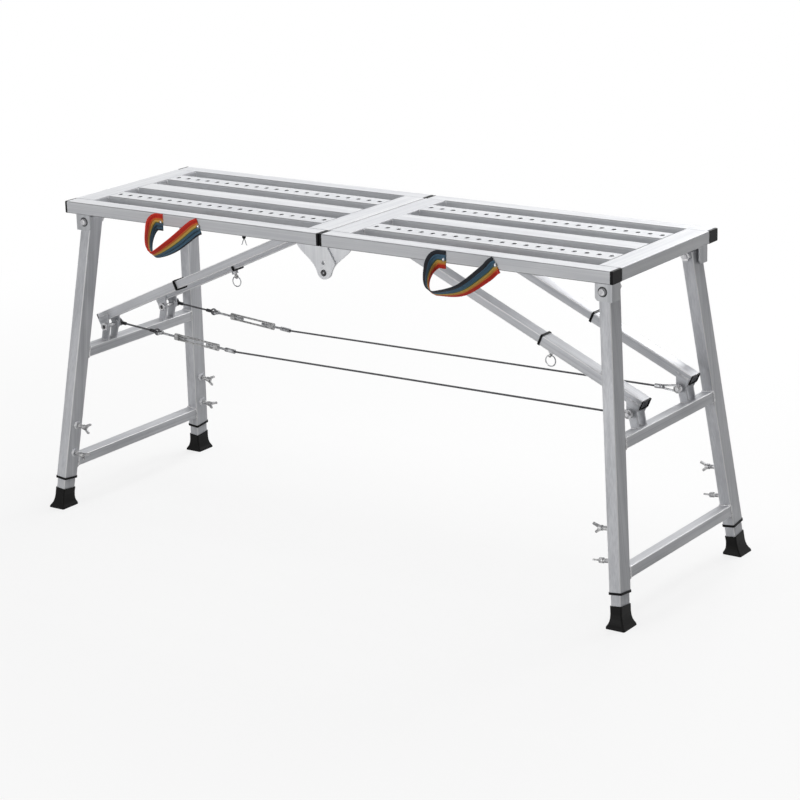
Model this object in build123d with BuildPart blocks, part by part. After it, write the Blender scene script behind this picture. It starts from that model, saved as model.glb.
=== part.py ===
"""Folding work platform: two hinged deck halves on leg frames with telescopic struts and tie wires.

Millimetres, +Z up, +X along the deck, -Y the front. The origin is on the floor under the deck's middle.
The right half is described here, and the left half is the same one after a half turn about Z.
"""
import os
from math import acos, asin, atan2, cos, hypot, radians, sin, sqrt, tan

from build123d import *

os.makedirs("parts", exist_ok=True)

# Deck
deck_length = 1300.0
deck_width = 400.0
deck_height = 660.0
deck_depth = 25.0
deck_gap = 2.0
side_rail_width = 35.0
cross_rail_width = 50.0
slat_width = 50.0
slat_pitch = 95.0
tube_wall = 1.5
tube_corner = 2.5
bore_corner = 1.0
perforation_diameter = 10.0
perforation_pitch = 26.25
perforation_margin = 12.0
cap_flange = 5.5
cap_plug = 14.0
cap_round = 1.2
plug_clearance = 0.2

# Centre hinge, outline points measured from the pin along the plate's own half and upwards
hinge_drop = 55.0
hinge_plate = 4.0
hinge_plate_gap = 0.3
hinge_plate_setback = 12.0
hinge_reach = 66.0
hinge_throat = (39.0, 29.0)
hinge_flank = (15.5, 0.0)
hinge_toe = (1.0, -13.0)
hinge_heel = (-14.5, -5.0)
hinge_shoulder = (-28.0, 21.0)
hinge_crown = (-10.0, 52.0)
hinge_shoulder_round = 6.0
hinge_throat_slopes = ((-1.0, -1.6), (-1.0, -3.0))
lock_hole_diameter = 8.0
lock_hole_rise = 20.0

# Pivot bolts
bolt_diameter = 10.0
bolt_head_diameter = 15.0
bolt_head_height = 4.5
bolt_head_taper = 18.0
nut_across = 17.0
nut_height = 7.0
bolt_tail = 2.0
running_clearance = 0.08
seat_gap = 0.2

# Leg frames
leg_inset = 32.0
leg_pivot_drop = 20.0
leg_top_row = 155.0
foot_reach = 683.0
foot_row = 230.0
leg_width = 38.0
leg_depth = 25.0
leg_top_stub = 9.0
leg_end_height = 63.0
slide_gap = 0.3
extension_grip = 260.0
extension_seat = 12.0
crossbar_height = 22.0
crossbar_depth = 25.0
upper_crossbar_rise = 332.0
lower_crossbar_rise = 95.0

# Leg bracket
bracket_plate = 3.0
bracket_drop = 18.0
bracket_back = 16.0
bracket_clearance = 0.5
bracket_web_gap = 4.6
bracket_web_depth = 30.0
bracket_round = 8.0

# Collars at the mouths of the telescopic tubes
collar_lip = 1.3
collar_grip = 3.4
collar_face = 1.2

# Rubber feet
foot_height = 41.0
foot_base_width = 48.0
foot_base_depth = 40.0
foot_wall = 1.6
foot_corner = 3.0
foot_fit = 0.1
# Heights of the foot's flare, each with its share of the spread from the sleeve to the base
foot_flare = ((27.0, 0.0), (19.0, 0.10), (13.0, 0.28), (8.5, 0.55), (5.0, 0.86), (3.0, 1.0), (0.0, 1.0))

# Wing bolts that clamp the leg extensions
wing_bolt_heights = (180.0, 120.0)
wing_turns = (72.0, 20.0)
wing_bolt_diameter = 8.0
weld_nut_across = 15.0
weld_nut_height = 6.0
wing_stem = 20.0
wing_hub_diameter = 11.0
wing_hub_length = 8.0
wing_span = 23.0
wing_height = 38.0
wing_thickness = 3.5
wing_root = 4.0
wing_tip_width = 5.0
wing_tip_gap = 0.3

# Struts
strut_row = 95.0
strut_width = 32.0
strut_depth = 20.0
strut_wall = 1.5
strut_pivot_rise = 41.6
strut_pivot_inset = 6.0
strut_pivot_offset = 22.0
strut_top_reach = 140.0
strut_top_drop = 14.0
strut_tail = 11.0
strut_mouth = 226.0
strut_overlap = 55.0
strut_nose = 9.0
ear_plate = 3.0
ear_radius = 10.0
ear_front = 20.0
lug_plate = 4.0
lug_radius = 9.0
lug_base_out = 12.0
lug_base_in = 4.0
lug_sink = 0.8
lug_gap = 0.3
lug_pin_diameter = 8.0
lug_pin_head = 17.0
lug_pin_head_height = 2.5
lug_pin_tail = 33.0
trunnion_diameter = 8.0
trunnion_overhang = 4.3
hook_plate = 3.0
hook_gap = 1.0
hook_half_width = 8.0
hook_drop = 8.0
hook_clearance = 0.4
hook_mouth = 30.0
hook_steep = 242.0
hook_shallow = 225.0

# Spring latch with its pull ring
latch_setbacks = {"left": 13.0, "right": 26.0}
latch_diameter = 6.0
latch_boss_diameter = 14.0
latch_boss_height = 6.5
latch_nose_gap = 0.3
latch_neck = 1.5
latch_eye_diameter = 10.0
latch_eye_thickness = 3.0
latch_eye_hole = 4.6
ring_diameter = 24.0
ring_wire = 2.4

# Tie wires
tie_offset = 26.0
tie_droop = 24.0
tie_rod_diameter = 5.0
tie_eye_outer = 16.0
tie_eye_inner = 9.0
tie_eye_thickness = 5.0
tie_link_offset = 7.0
strop_length = 106.0
turnbuckle_start = 155.0
turnbuckle_length = 115.0
turnbuckle_block = 11.0
turnbuckle_thickness = 9.0
turnbuckle_spread = 10.4
turnbuckle_rod = 4.2
turnbuckle_corner = 4.0
tie_thread = 32.0
ferrule_diameter = 9.0
ferrule_length = 24.0
tie_length = 313.0
wire_diameter = 4.0
wire_gap = 0.3
loop_length = 50.0
loop_ferrule = 14.0
loop_radius = 6.6

# Webbing handles
handle_starts = {"left": -402.0, "right": 280.0}
strap_run_outs = {"left": 10.0, "right": 13.0}
strap_return_angles = {"left": 25.0, "right": 21.0}
strap_width = 35.0
strap_thickness = 2.5
strap_top_gap = 0.5
strap_tail = 14.0
strap_end_tail = 9.0
strap_first_bend = 9.0
strap_front_bend = 22.0
strap_last_bend = 12.0
# Distances out from the rail, each with how far the strap has fallen there
strap_level = (8.0, 0.0)
strap_knee = (24.0, 33.0)
strap_lowest = (52.0, 58.0)

# Directions of the right half and the two halves
ALONG = Vector(1, 0, 0)
ACROSS = Vector(0, 1, 0)
FRONTWARD = Vector(0, -1, 0)
UP = Vector(0, 0, 1)
HALVES = {"left": -1, "right": 1}
ROWS = (-1, 1)

# Deck places
deck_end = deck_length / 2
deck_start = deck_gap / 2
deck_under = deck_height - deck_depth
deck_middle = deck_height - deck_depth / 2
rail_row = (deck_width - side_rail_width) / 2
rail_start = deck_start + cap_flange
rail_length = deck_end - deck_start - 2 * cap_flange
cross_rail_length = deck_width - 2 * side_rail_width
slat_start = deck_start + cross_rail_width
slat_length = deck_end - deck_start - 2 * cross_rail_width
perforation_count = int((slat_length - 2 * perforation_margin) // perforation_pitch) + 1
hinge_pin = Vector(0, 0, deck_under - hinge_drop)
hinge_face = deck_width / 2 - hinge_plate_setback

# Leg places, with the frame lying in a plane that leans out at its foot
leg_pivot = Vector(deck_end - leg_inset, 0, deck_under - leg_pivot_drop)
lean = atan2(foot_reach - leg_pivot.X, leg_pivot.Z)
down_leg = Vector(sin(lean), 0, -cos(lean))
inward = Vector(-cos(lean), 0, -sin(lean))
splay = atan2(foot_row - leg_top_row, leg_pivot.Z / cos(lean))
leg_length = leg_pivot.Z / cos(lean) / cos(splay)
height_to_leg = leg_length / leg_pivot.Z
extension_width = leg_width - 2 * tube_wall - 2 * slide_gap
extension_depth = leg_depth - 2 * tube_wall - 2 * slide_gap
outer_leg_end = leg_length - leg_end_height * height_to_leg
extension_start = outer_leg_end - extension_grip
extension_end = leg_length - extension_seat * height_to_leg
cheek_face = leg_top_row + leg_width / 2 / cos(splay) + hypot(bracket_drop, bracket_back) * tan(splay)
cheek_face += bracket_clearance
web_face = leg_pivot.X + leg_depth / 2 + bracket_web_gap

# Strut places: the lower pivot on the crossbar's lugs and the upper pivot under the deck
upper_bar = (leg_pivot.Z - upper_crossbar_rise) / cos(lean)
lower_bar = (leg_pivot.Z - lower_crossbar_rise) / cos(lean)
strut_foot = leg_pivot + down_leg * (upper_bar - strut_pivot_rise) + inward * strut_pivot_inset
strut_head = Vector(strut_top_reach, 0, deck_under - strut_top_drop)
strut_span = strut_head - strut_foot
strut_reach = sqrt(strut_span.length**2 - strut_pivot_offset**2)
strut_slope = atan2(strut_span.Z, -strut_span.X) - asin(strut_pivot_offset / strut_span.length)
along_strut = Vector(-cos(strut_slope), 0, sin(strut_slope))
over_strut = Vector(sin(strut_slope), 0, cos(strut_slope))
strut_axis = strut_foot + over_strut * strut_pivot_offset
inner_strut_width = strut_width - 2 * strut_wall - 2 * slide_gap
inner_strut_depth = strut_depth - 2 * strut_wall - 2 * slide_gap
inner_strut_start = strut_mouth - strut_overlap
latch_eye_reach = strut_depth / 2 + latch_boss_height + latch_neck + latch_eye_diameter / 2

# Tie places
tie_left = Vector(-strut_foot.X, 0, strut_foot.Z)
tie_slope = asin(tie_droop / tie_length)
along_tie = Vector(cos(tie_slope), 0, -sin(tie_slope))
tie_end = tie_left + along_tie * tie_length
loop_way = (tie_end - strut_foot).normalized()
loop_mouth = strut_foot + loop_way * loop_length
wire_span = tie_end + ACROSS * (2 * tie_offset) - loop_mouth
wire_line = wire_span.normalized()


def turned(side, point):
    """Carry a point or direction of the right half to the given half."""
    vector = Vector(point)
    return Vector(side * vector.X, side * vector.Y, vector.Z)


def half_plane(side, origin, x_dir, z_dir):
    """Plane of the given half, described on the right half."""
    return Plane(origin=turned(side, origin), x_dir=turned(side, x_dir), z_dir=turned(side, z_dir))


def front_plane(side, origin):
    """Plane that faces the half's own front, with X along the deck and Y up."""
    return half_plane(side, origin, ALONG, FRONTWARD)


def leg_plane(side, row, distance):
    """Plane square to a leg, at a distance down the leg from its pivot."""
    leg_line = down_leg * cos(splay) + ACROSS * (row * sin(splay))
    leg_cross = ACROSS * (row * cos(splay)) - down_leg * sin(splay)
    origin = leg_pivot + ACROSS * (row * leg_top_row) + leg_line * distance
    return half_plane(side, origin, leg_cross, leg_line)


def floor_plane(side, row, height):
    """Level plane on a leg's centre line at a height over the floor."""
    centre = leg_plane(side, row, leg_length - height * height_to_leg).origin
    return Plane(origin=centre, x_dir=ACROSS, z_dir=UP)


def strut_plane(side, row, distance):
    """Plane square to a strut, at a distance up the strut from its lower pivot."""
    return half_plane(side, strut_axis + along_strut * distance + ACROSS * (row * strut_row), ACROSS, along_strut)


def tie_plane(row_place, distance):
    """Plane square to a tie, at a distance from its left pin."""
    return Plane(origin=tie_left + ACROSS * row_place + along_tie * distance, x_dir=ACROSS, z_dir=along_tie)


def corner_name(half, row):
    """Name of a leg's corner, such as left_front."""
    return f"{half}_{'front' if HALVES[half] * row < 0 else 'rear'}"


def tube_section(width, depth, wall):
    """Closed tube section with rounded corners."""
    RectangleRounded(width, depth, tube_corner)
    RectangleRounded(width - 2 * wall, depth - 2 * wall, bore_corner, mode=Mode.SUBTRACT)


def pivot_bolt(seat, grip):
    """Low-headed bolt whose head lies on the seat plane, with its nut past the grip."""
    with BuildSketch(seat) as head:
        Circle(bolt_head_diameter / 2)
    extrude(head.sketch, amount=bolt_head_height, taper=bolt_head_taper)
    with BuildSketch(seat) as shank:
        Circle(bolt_diameter / 2)
    extrude(shank.sketch, amount=-grip - nut_height - bolt_tail)
    with BuildSketch(seat.offset(-grip)) as nut:
        RegularPolygon(nut_across / 2, 6, major_radius=False)
    extrude(nut.sketch, amount=-nut_height)


def mouth_collar(mouth, width, depth, wall):
    """Plastic ring that caps a tube's mouth and guides the tube that slides in it."""
    with BuildSketch(mouth.offset(-collar_grip)) as ring:
        RectangleRounded(width + 2 * collar_lip, depth + 2 * collar_lip, tube_corner + collar_lip)
    extrude(ring.sketch, amount=collar_grip + collar_face)
    with BuildSketch(mouth) as grip:
        RectangleRounded(width, depth, tube_corner)
    extrude(grip.sketch, amount=-collar_grip, mode=Mode.SUBTRACT)
    with BuildSketch(mouth) as passage:
        RectangleRounded(width - 2 * wall, depth - 2 * wall, bore_corner)
    extrude(passage.sketch, amount=collar_face, mode=Mode.SUBTRACT)


def hand_in(builder, name):
    """Label a finished piece and write its file."""
    builder.part.label = name
    export_step(builder.part, f"parts/{name}.step")


# Deck tubes
for half, side in HALVES.items():
    with BuildPart() as side_rails:
        for row in ROWS:
            with BuildSketch(half_plane(side, (rail_start, row * rail_row, deck_middle), ACROSS, ALONG)):
                tube_section(side_rail_width, deck_depth, tube_wall)
        extrude(amount=rail_length)
    hand_in(side_rails, f"{half}_side_rails")

    with BuildPart() as cross_rails:
        for x in (deck_start + cross_rail_width / 2, deck_end - cross_rail_width / 2):
            with BuildSketch(half_plane(side, (x, -cross_rail_length / 2, deck_middle), ALONG, ACROSS)):
                tube_section(cross_rail_width, deck_depth, tube_wall)
        extrude(amount=cross_rail_length)
    hand_in(cross_rails, f"{half}_cross_rails")

    with BuildPart() as perforated_slats:
        for row in ROWS:
            with BuildSketch(half_plane(side, (slat_start, row * slat_pitch, deck_middle), ACROSS, ALONG)):
                tube_section(slat_width, deck_depth, tube_wall)
        extrude(amount=slat_length)
        for row in ROWS:
            slat_top = (slat_start + slat_length / 2, row * slat_pitch, deck_height)
            with BuildSketch(half_plane(side, slat_top, ALONG, UP)):
                with GridLocations(perforation_pitch, 0, perforation_count, 1):
                    Circle(perforation_diameter / 2)
        extrude(amount=-2 * tube_wall, mode=Mode.SUBTRACT)
    hand_in(perforated_slats, f"{half}_perforated_slats")

    with BuildPart() as centre_slat:
        with BuildSketch(half_plane(side, (slat_start, 0, deck_middle), ACROSS, ALONG)):
            tube_section(slat_width, deck_depth, tube_wall)
        extrude(amount=slat_length)
    hand_in(centre_slat, f"{half}_centre_slat")

    with BuildPart() as rail_caps:
        for row in ROWS:
            for x, outward in ((rail_start, -1), (rail_start + rail_length, 1)):
                seat = half_plane(side, (x, row * rail_row, deck_middle), ACROSS, ALONG * outward)
                with BuildSketch(seat):
                    RectangleRounded(side_rail_width, deck_depth, tube_corner)
                extrude(amount=cap_flange)
                cap_front = rail_caps.faces(Select.LAST).sort_by(Axis.X)[-1 if side * outward > 0 else 0]
                fillet(cap_front.edges(), cap_round)
                with BuildSketch(seat):
                    plug_trim = 2 * tube_wall + 2 * plug_clearance
                    RectangleRounded(side_rail_width - plug_trim, deck_depth - plug_trim, bore_corner)
                extrude(amount=-cap_plug)
    hand_in(rail_caps, f"{half}_rail_caps")

# Centre hinge: at the half's own front its plate is the inner one, at its own rear the outer one
inner_plate_face = hinge_face - hinge_plate - hinge_plate_gap
for half, side in HALVES.items():
    with BuildPart() as hinge_plates:
        for plate_back in (-inner_plate_face + hinge_plate, hinge_face):
            with BuildSketch(front_plane(side, hinge_pin + ACROSS * plate_back)) as outline:
                with BuildLine():
                    Spline((hinge_reach, hinge_drop), hinge_throat, hinge_flank, tangents=hinge_throat_slopes)
                    ThreePointArc(hinge_flank, hinge_toe, hinge_heel)
                    Polyline(hinge_heel, hinge_shoulder, hinge_crown, (deck_start, hinge_drop))
                    Line((deck_start, hinge_drop), (hinge_reach, hinge_drop))
                make_face()
                fillet(outline.vertices().sort_by_distance(hinge_shoulder)[0], hinge_shoulder_round)
                Circle(bolt_diameter / 2 + running_clearance, mode=Mode.SUBTRACT)
                with Locations((0, lock_hole_rise)):
                    Circle(lock_hole_diameter / 2, mode=Mode.SUBTRACT)
            extrude(amount=hinge_plate)
    hand_in(hinge_plates, f"{half}_hinge_plates")

with BuildPart() as hinge_bolts:
    for row in ROWS:
        bolt_seat = hinge_pin + ACROSS * (row * (hinge_face + seat_gap))
        pivot_bolt(Plane(origin=bolt_seat, x_dir=ALONG, z_dir=ACROSS * row),
                   2 * hinge_plate + hinge_plate_gap + 2 * seat_gap)
hand_in(hinge_bolts, "hinge_bolts")

# Leg brackets and pivot bolts
bracket_base = leg_pivot.Z - bracket_drop
bracket_height = deck_under - bracket_base
for half, side in HALVES.items():
    with BuildPart() as leg_brackets:
        for row in ROWS:
            cheek_start = leg_pivot.X - bracket_back
            cheek_length = web_face + bracket_plate - cheek_start
            cheek = front_plane(side, (cheek_start, row * cheek_face, bracket_base))
            with BuildSketch(cheek) as cheek_outline:
                Rectangle(cheek_length, bracket_height, align=Align.MIN)
                fillet(cheek_outline.vertices().sort_by_distance((0, 0))[0], bracket_round)
                with Locations((bracket_back, bracket_drop)):
                    Circle(bolt_diameter / 2 + running_clearance, mode=Mode.SUBTRACT)
            extrude(amount=-row * bracket_plate)
            web_edge = cheek_face + bracket_plate - bracket_web_depth
            web = half_plane(side, (web_face, row * web_edge, bracket_base), ACROSS * row, ALONG * row)
            with BuildSketch(web) as web_outline:
                Rectangle(bracket_web_depth, bracket_height, align=Align.MIN)
                fillet(web_outline.vertices().sort_by_distance((0, 0))[0], bracket_round)
            extrude(amount=row * bracket_plate)
    hand_in(leg_brackets, f"{half}_leg_brackets")

    with BuildPart() as leg_pivot_bolts:
        for row in ROWS:
            bolt_seat = leg_pivot + ACROSS * (row * (cheek_face + bracket_plate + seat_gap))
            leg_inner_face = leg_top_row - (leg_width / 2 + nut_across / 2 * sin(splay)) / cos(splay)
            pivot_bolt(half_plane(side, bolt_seat, ALONG, ACROSS * row),
                       cheek_face + bracket_plate - leg_inner_face + 2 * seat_gap)
    hand_in(leg_pivot_bolts, f"{half}_leg_pivot_bolts")

# Leg frames
wing_places = [leg_length - height * height_to_leg for height in wing_bolt_heights]


def wing_seat(side, row, distance):
    """Plane on a leg's inward face where a wing bolt enters, facing out of the leg."""
    place = turned(side, leg_plane(side, row, distance).origin) + inward * (leg_depth / 2)
    return half_plane(side, place, ACROSS, inward)


for half, side in HALVES.items():
    with BuildPart() as leg_tubes:
        for row in ROWS:
            with BuildSketch(leg_plane(side, row, -leg_top_stub)):
                tube_section(leg_width, leg_depth, tube_wall)
            extrude(amount=outer_leg_end + leg_top_stub)
            for distance in wing_places:
                with BuildSketch(wing_seat(side, row, distance)):
                    RegularPolygon(weld_nut_across / 2, 6, major_radius=False)
                extrude(amount=weld_nut_height)
                with BuildSketch(wing_seat(side, row, distance)):
                    Circle(wing_bolt_diameter / 2 + running_clearance)
                extrude(amount=weld_nut_height, both=True, mode=Mode.SUBTRACT)
        with BuildSketch(half_plane(side, leg_pivot, ALONG, ACROSS)):
            Circle(bolt_diameter / 2 + running_clearance)
        extrude(amount=deck_width / 2, both=True, mode=Mode.SUBTRACT)
    hand_in(leg_tubes, f"{half}_leg_tubes")

    lug_outer = strut_width / 2 - lug_gap
    with BuildPart() as crossbars:
        for distance in (upper_bar, lower_bar):
            with BuildSketch(half_plane(side, leg_pivot + down_leg * distance, inward, ACROSS)):
                tube_section(crossbar_depth, crossbar_height, tube_wall)
        extrude(amount=foot_row, both=True)
        for row in ROWS:
            leg_face = leg_plane(side, row, 0)
            inner_face = Plane(origin=leg_face.origin - leg_face.x_dir * (leg_width / 2), z_dir=leg_face.x_dir)
            split(bisect_by=inner_face, keep=Keep.BOTTOM)
        base_height = strut_pivot_rise - crossbar_height / 2 + lug_sink
        for row in ROWS:
            for start in (-lug_outer, lug_outer - lug_plate):
                place = strut_foot + ACROSS * (row * strut_row + start)
                with BuildSketch(half_plane(side, place, down_leg, ACROSS)):
                    Circle(lug_radius)
                    with BuildLine():
                        Polyline((0, -lug_radius), (base_height, -lug_base_out), (base_height, lug_base_in),
                                 (0, lug_radius), close=True)
                    make_face()
                    Circle(lug_pin_diameter / 2 + running_clearance, mode=Mode.SUBTRACT)
                extrude(amount=lug_plate)
    hand_in(crossbars, f"{half}_crossbars")

    with BuildPart() as leg_collars:
        for row in ROWS:
            mouth_collar(leg_plane(side, row, outer_leg_end), leg_width, leg_depth, tube_wall)
    hand_in(leg_collars, f"{half}_leg_collars")

    ear_face = strut_width / 2 + ear_plate
    with BuildPart() as lug_pins:
        for row in ROWS:
            pin_row = strut_foot + ACROSS * (row * strut_row)
            head_seat = half_plane(side, pin_row + ACROSS * (ear_face + lug_gap), ALONG, FRONTWARD)
            with BuildSketch(head_seat):
                Circle(lug_pin_head / 2)
            extrude(amount=-lug_pin_head_height)
            with BuildSketch(head_seat):
                Circle(lug_pin_diameter / 2)
            extrude(amount=ear_face + lug_gap + lug_pin_tail)
            tail_seat = pin_row + FRONTWARD * (tie_offset + tie_eye_thickness / 2 + lug_gap)
            with BuildSketch(half_plane(side, tail_seat, ALONG, FRONTWARD)):
                Circle(lug_pin_head / 2)
            extrude(amount=lug_pin_head_height)
    hand_in(lug_pins, f"{half}_lug_pins")

    for row in ROWS:
        corner = corner_name(half, row)
        with BuildPart() as leg_extension:
            with BuildSketch(leg_plane(side, row, extension_start)):
                tube_section(extension_width, extension_depth, tube_wall)
            extrude(amount=extension_end - extension_start)
        hand_in(leg_extension, f"{corner}_leg_extension")

        sleeve_width = extension_width + 2 * foot_wall
        sleeve_depth = extension_depth + 2 * foot_wall
        with BuildPart() as foot:
            with BuildSketch(leg_plane(side, row, leg_length - foot_height * height_to_leg)):
                RectangleRounded(sleeve_width, sleeve_depth, foot_corner)
            for height, share in foot_flare:
                flare_width = sleeve_width + share * (foot_base_width - sleeve_width)
                flare_depth = sleeve_depth + share * (foot_base_depth - sleeve_depth)
                with BuildSketch(floor_plane(side, row, height)):
                    RectangleRounded(flare_width, flare_depth, foot_corner)
            loft(ruled=True)
            with BuildSketch(leg_plane(side, row, extension_end)):
                RectangleRounded(extension_width + 2 * foot_fit, extension_depth + 2 * foot_fit, tube_corner)
            extrude(amount=-foot_height, mode=Mode.SUBTRACT)
        hand_in(foot, f"{corner}_foot")

        for word, distance, turn in zip(("upper", "lower"), wing_places, wing_turns):
            seat = wing_seat(side, row, distance)
            wing_across = seat.x_dir.rotate(Axis((0, 0, 0), seat.z_dir), turn)
            wing_top = wing_height - wing_tip_width / 2
            with BuildPart() as wing_bolt:
                with BuildSketch(seat.offset(-tube_wall - slide_gap + wing_tip_gap)):
                    Circle(wing_bolt_diameter / 2)
                extrude(amount=tube_wall + slide_gap - wing_tip_gap + wing_stem)
                with BuildSketch(seat.offset(wing_stem)):
                    Circle(wing_hub_diameter / 2)
                extrude(amount=wing_hub_length)
                wing_face = Plane(origin=seat.origin, x_dir=wing_across, z_dir=wing_across.cross(seat.z_dir))
                with BuildSketch(wing_face):
                    for hand in (-1, 1):
                        tip = hand * (wing_span - wing_tip_width) / 2
                        with Locations((tip, wing_top)):
                            Circle(wing_tip_width / 2)
                        with BuildLine():
                            Polyline((0, wing_stem + wing_root / 2), (hand * wing_root, wing_stem + wing_root / 2),
                                     (tip + hand * wing_tip_width / 2, wing_top),
                                     (tip - hand * wing_tip_width / 2, wing_top),
                                     (0, wing_stem + wing_hub_length), close=True)
                        make_face()
                extrude(amount=wing_thickness / 2, both=True)
            hand_in(wing_bolt, f"{corner}_{word}_wing_bolt")

# Struts
for half, side in HALVES.items():
    latch_place = strut_axis + along_strut * (strut_mouth - latch_setbacks[half])
    with BuildPart() as strut_outer_tubes:
        for row in ROWS:
            with BuildSketch(strut_plane(side, row, -strut_tail)):
                tube_section(strut_width, strut_depth, strut_wall)
            extrude(amount=strut_tail + strut_mouth)
            for hand in (-1, 1):
                ear_place = strut_foot + ACROSS * (row * strut_row + hand * strut_width / 2)
                with BuildSketch(half_plane(side, ear_place, along_strut, FRONTWARD * hand)):
                    Circle(ear_radius)
                    lift = -hand * strut_pivot_offset
                    with BuildLine():
                        Polyline((-ear_radius, 0), (ear_radius, 0), (ear_front, lift), (-strut_tail, lift), close=True)
                    make_face()
                    Circle(lug_pin_diameter / 2 + running_clearance, mode=Mode.SUBTRACT)
                extrude(amount=-ear_plate)
        boss = half_plane(side, latch_place - over_strut * (strut_depth / 2) - ACROSS * strut_row, ACROSS, -over_strut)
        with BuildSketch(boss):
            Circle(latch_boss_diameter / 2)
        extrude(amount=latch_boss_height)
        with BuildSketch(boss):
            Circle(latch_diameter / 2 + running_clearance)
        extrude(amount=latch_boss_height, both=True, mode=Mode.SUBTRACT)
    hand_in(strut_outer_tubes, f"{half}_strut_outer_tubes")

    with BuildPart() as strut_collars:
        for row in ROWS:
            mouth_collar(strut_plane(side, row, strut_mouth), strut_width, strut_depth, strut_wall)
    hand_in(strut_collars, f"{half}_strut_collars")

    with BuildPart() as strut_inner_tubes:
        for row in ROWS:
            with BuildSketch(strut_plane(side, row, inner_strut_start)):
                tube_section(inner_strut_width, inner_strut_depth, strut_wall)
            extrude(amount=strut_reach + strut_nose - inner_strut_start)
            with BuildSketch(half_plane(side, strut_head + ACROSS * (row * strut_row), ALONG, ACROSS)):
                Circle(trunnion_diameter / 2)
            extrude(amount=inner_strut_width / 2 + trunnion_overhang, both=True)
    hand_in(strut_inner_tubes, f"{half}_strut_inner_tubes")

    hook_radius = trunnion_diameter / 2 + hook_clearance
    steep = Vector(cos(radians(hook_steep)), sin(radians(hook_steep)))
    shallow = Vector(cos(radians(hook_shallow)), sin(radians(hook_shallow)))
    steep_edge = Vector(-steep.Y, steep.X) * hook_radius
    shallow_edge = Vector(shallow.Y, -shallow.X) * hook_radius
    with BuildPart() as strut_brackets:
        for row in ROWS:
            for hand in (-1, 1):
                cheek_row = row * strut_row + hand * (inner_strut_width / 2 + hook_gap)
                with BuildSketch(front_plane(side, strut_head + ACROSS * cheek_row)):
                    with Locations((0, -hook_drop)):
                        Rectangle(2 * hook_half_width, strut_top_drop + hook_drop, align=(Align.CENTER, Align.MIN))
                    Circle(hook_radius, mode=Mode.SUBTRACT)
                    with BuildLine():
                        Polyline(steep_edge, steep_edge + steep * hook_mouth, shallow_edge + shallow * hook_mouth,
                                 shallow_edge, close=True)
                    make_face(mode=Mode.SUBTRACT)
                extrude(amount=-hand * hook_plate)
    hand_in(strut_brackets, f"{half}_strut_brackets")

    with BuildPart() as latch_pin:
        latch_row = latch_place - ACROSS * strut_row
        nose = inner_strut_depth / 2 + latch_nose_gap
        with BuildSketch(half_plane(side, latch_row - over_strut * nose, ACROSS, -over_strut)):
            Circle(latch_diameter / 2)
        extrude(amount=latch_eye_reach - latch_eye_diameter / 4 - nose)
        with BuildSketch(half_plane(side, latch_row - over_strut * latch_eye_reach, ACROSS, along_strut)):
            Circle(latch_eye_diameter / 2)
        extrude(amount=latch_eye_thickness / 2, both=True)
        with BuildSketch(half_plane(side, latch_row - over_strut * latch_eye_reach, ACROSS, along_strut)):
            Circle(latch_eye_hole / 2)
        extrude(amount=latch_eye_thickness, both=True, mode=Mode.SUBTRACT)
    hand_in(latch_pin, f"{half}_latch_pin")

    ring_middle = latch_row - over_strut * latch_eye_reach - UP * ((ring_diameter - ring_wire) / 2)
    with BuildPart(half_plane(side, ring_middle, ALONG, ACROSS)) as latch_ring:
        Torus((ring_diameter - ring_wire) / 2, ring_wire / 2)
    hand_in(latch_ring, f"{half}_latch_ring")

# Ties: a strop, eye bolts and a turnbuckle from the left pin, a long wire, and its loop at the right pin
TIE_ROWS = {"front": tie_offset - strut_row, "rear": tie_offset + strut_row}
LOOP_ROWS = (-strut_row - tie_offset, strut_row - tie_offset)
turnbuckle_end = turnbuckle_start + turnbuckle_length
eye_middle = (tie_eye_outer + tie_eye_inner) / 4


def tie_eye(row_place, distance, upright):
    """Flat forged eye at a distance along the tie, standing upright or lying level."""
    place = tie_plane(row_place, distance)
    normal = place.x_dir if upright else place.y_dir
    with BuildSketch(Plane(origin=place.origin, x_dir=along_tie, z_dir=normal)) as eye:
        Circle(tie_eye_outer / 2)
        Circle(tie_eye_inner / 2, mode=Mode.SUBTRACT)
    extrude(eye.sketch, amount=tie_eye_thickness / 2, both=True)


def tie_rod(row_place, start, end, diameter):
    """Straight round length of a tie."""
    with BuildSketch(tie_plane(row_place, start)) as rod:
        Circle(diameter / 2)
    extrude(rod.sketch, amount=end - start)


with BuildPart() as tie_eye_bolts:
    for row_place in TIE_ROWS.values():
        linked_eye = strop_length + tie_link_offset
        tie_eye(row_place, linked_eye, False)
        tie_rod(row_place, linked_eye + eye_middle, turnbuckle_start + tie_thread, tie_rod_diameter)
        tie_rod(row_place, turnbuckle_end - tie_thread, tie_length - ferrule_length, tie_rod_diameter)
        tie_rod(row_place, tie_length - ferrule_length, tie_length, ferrule_diameter)
hand_in(tie_eye_bolts, "tie_eye_bolts")

for word, row_place in TIE_ROWS.items():
    with BuildPart() as turnbuckle:
        for start in (turnbuckle_start, turnbuckle_end - turnbuckle_block):
            with BuildSketch(tie_plane(row_place, start)):
                RectangleRounded(turnbuckle_thickness, turnbuckle_spread + turnbuckle_rod, turnbuckle_corner)
                Circle(tie_rod_diameter / 2 + running_clearance, mode=Mode.SUBTRACT)
            extrude(amount=turnbuckle_block)
        with BuildSketch(tie_plane(row_place, turnbuckle_start + turnbuckle_block)):
            with GridLocations(0, turnbuckle_spread, 1, 2):
                Circle(turnbuckle_rod / 2)
        extrude(amount=turnbuckle_length - 2 * turnbuckle_block)
    hand_in(turnbuckle, f"{word}_turnbuckle")

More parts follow.
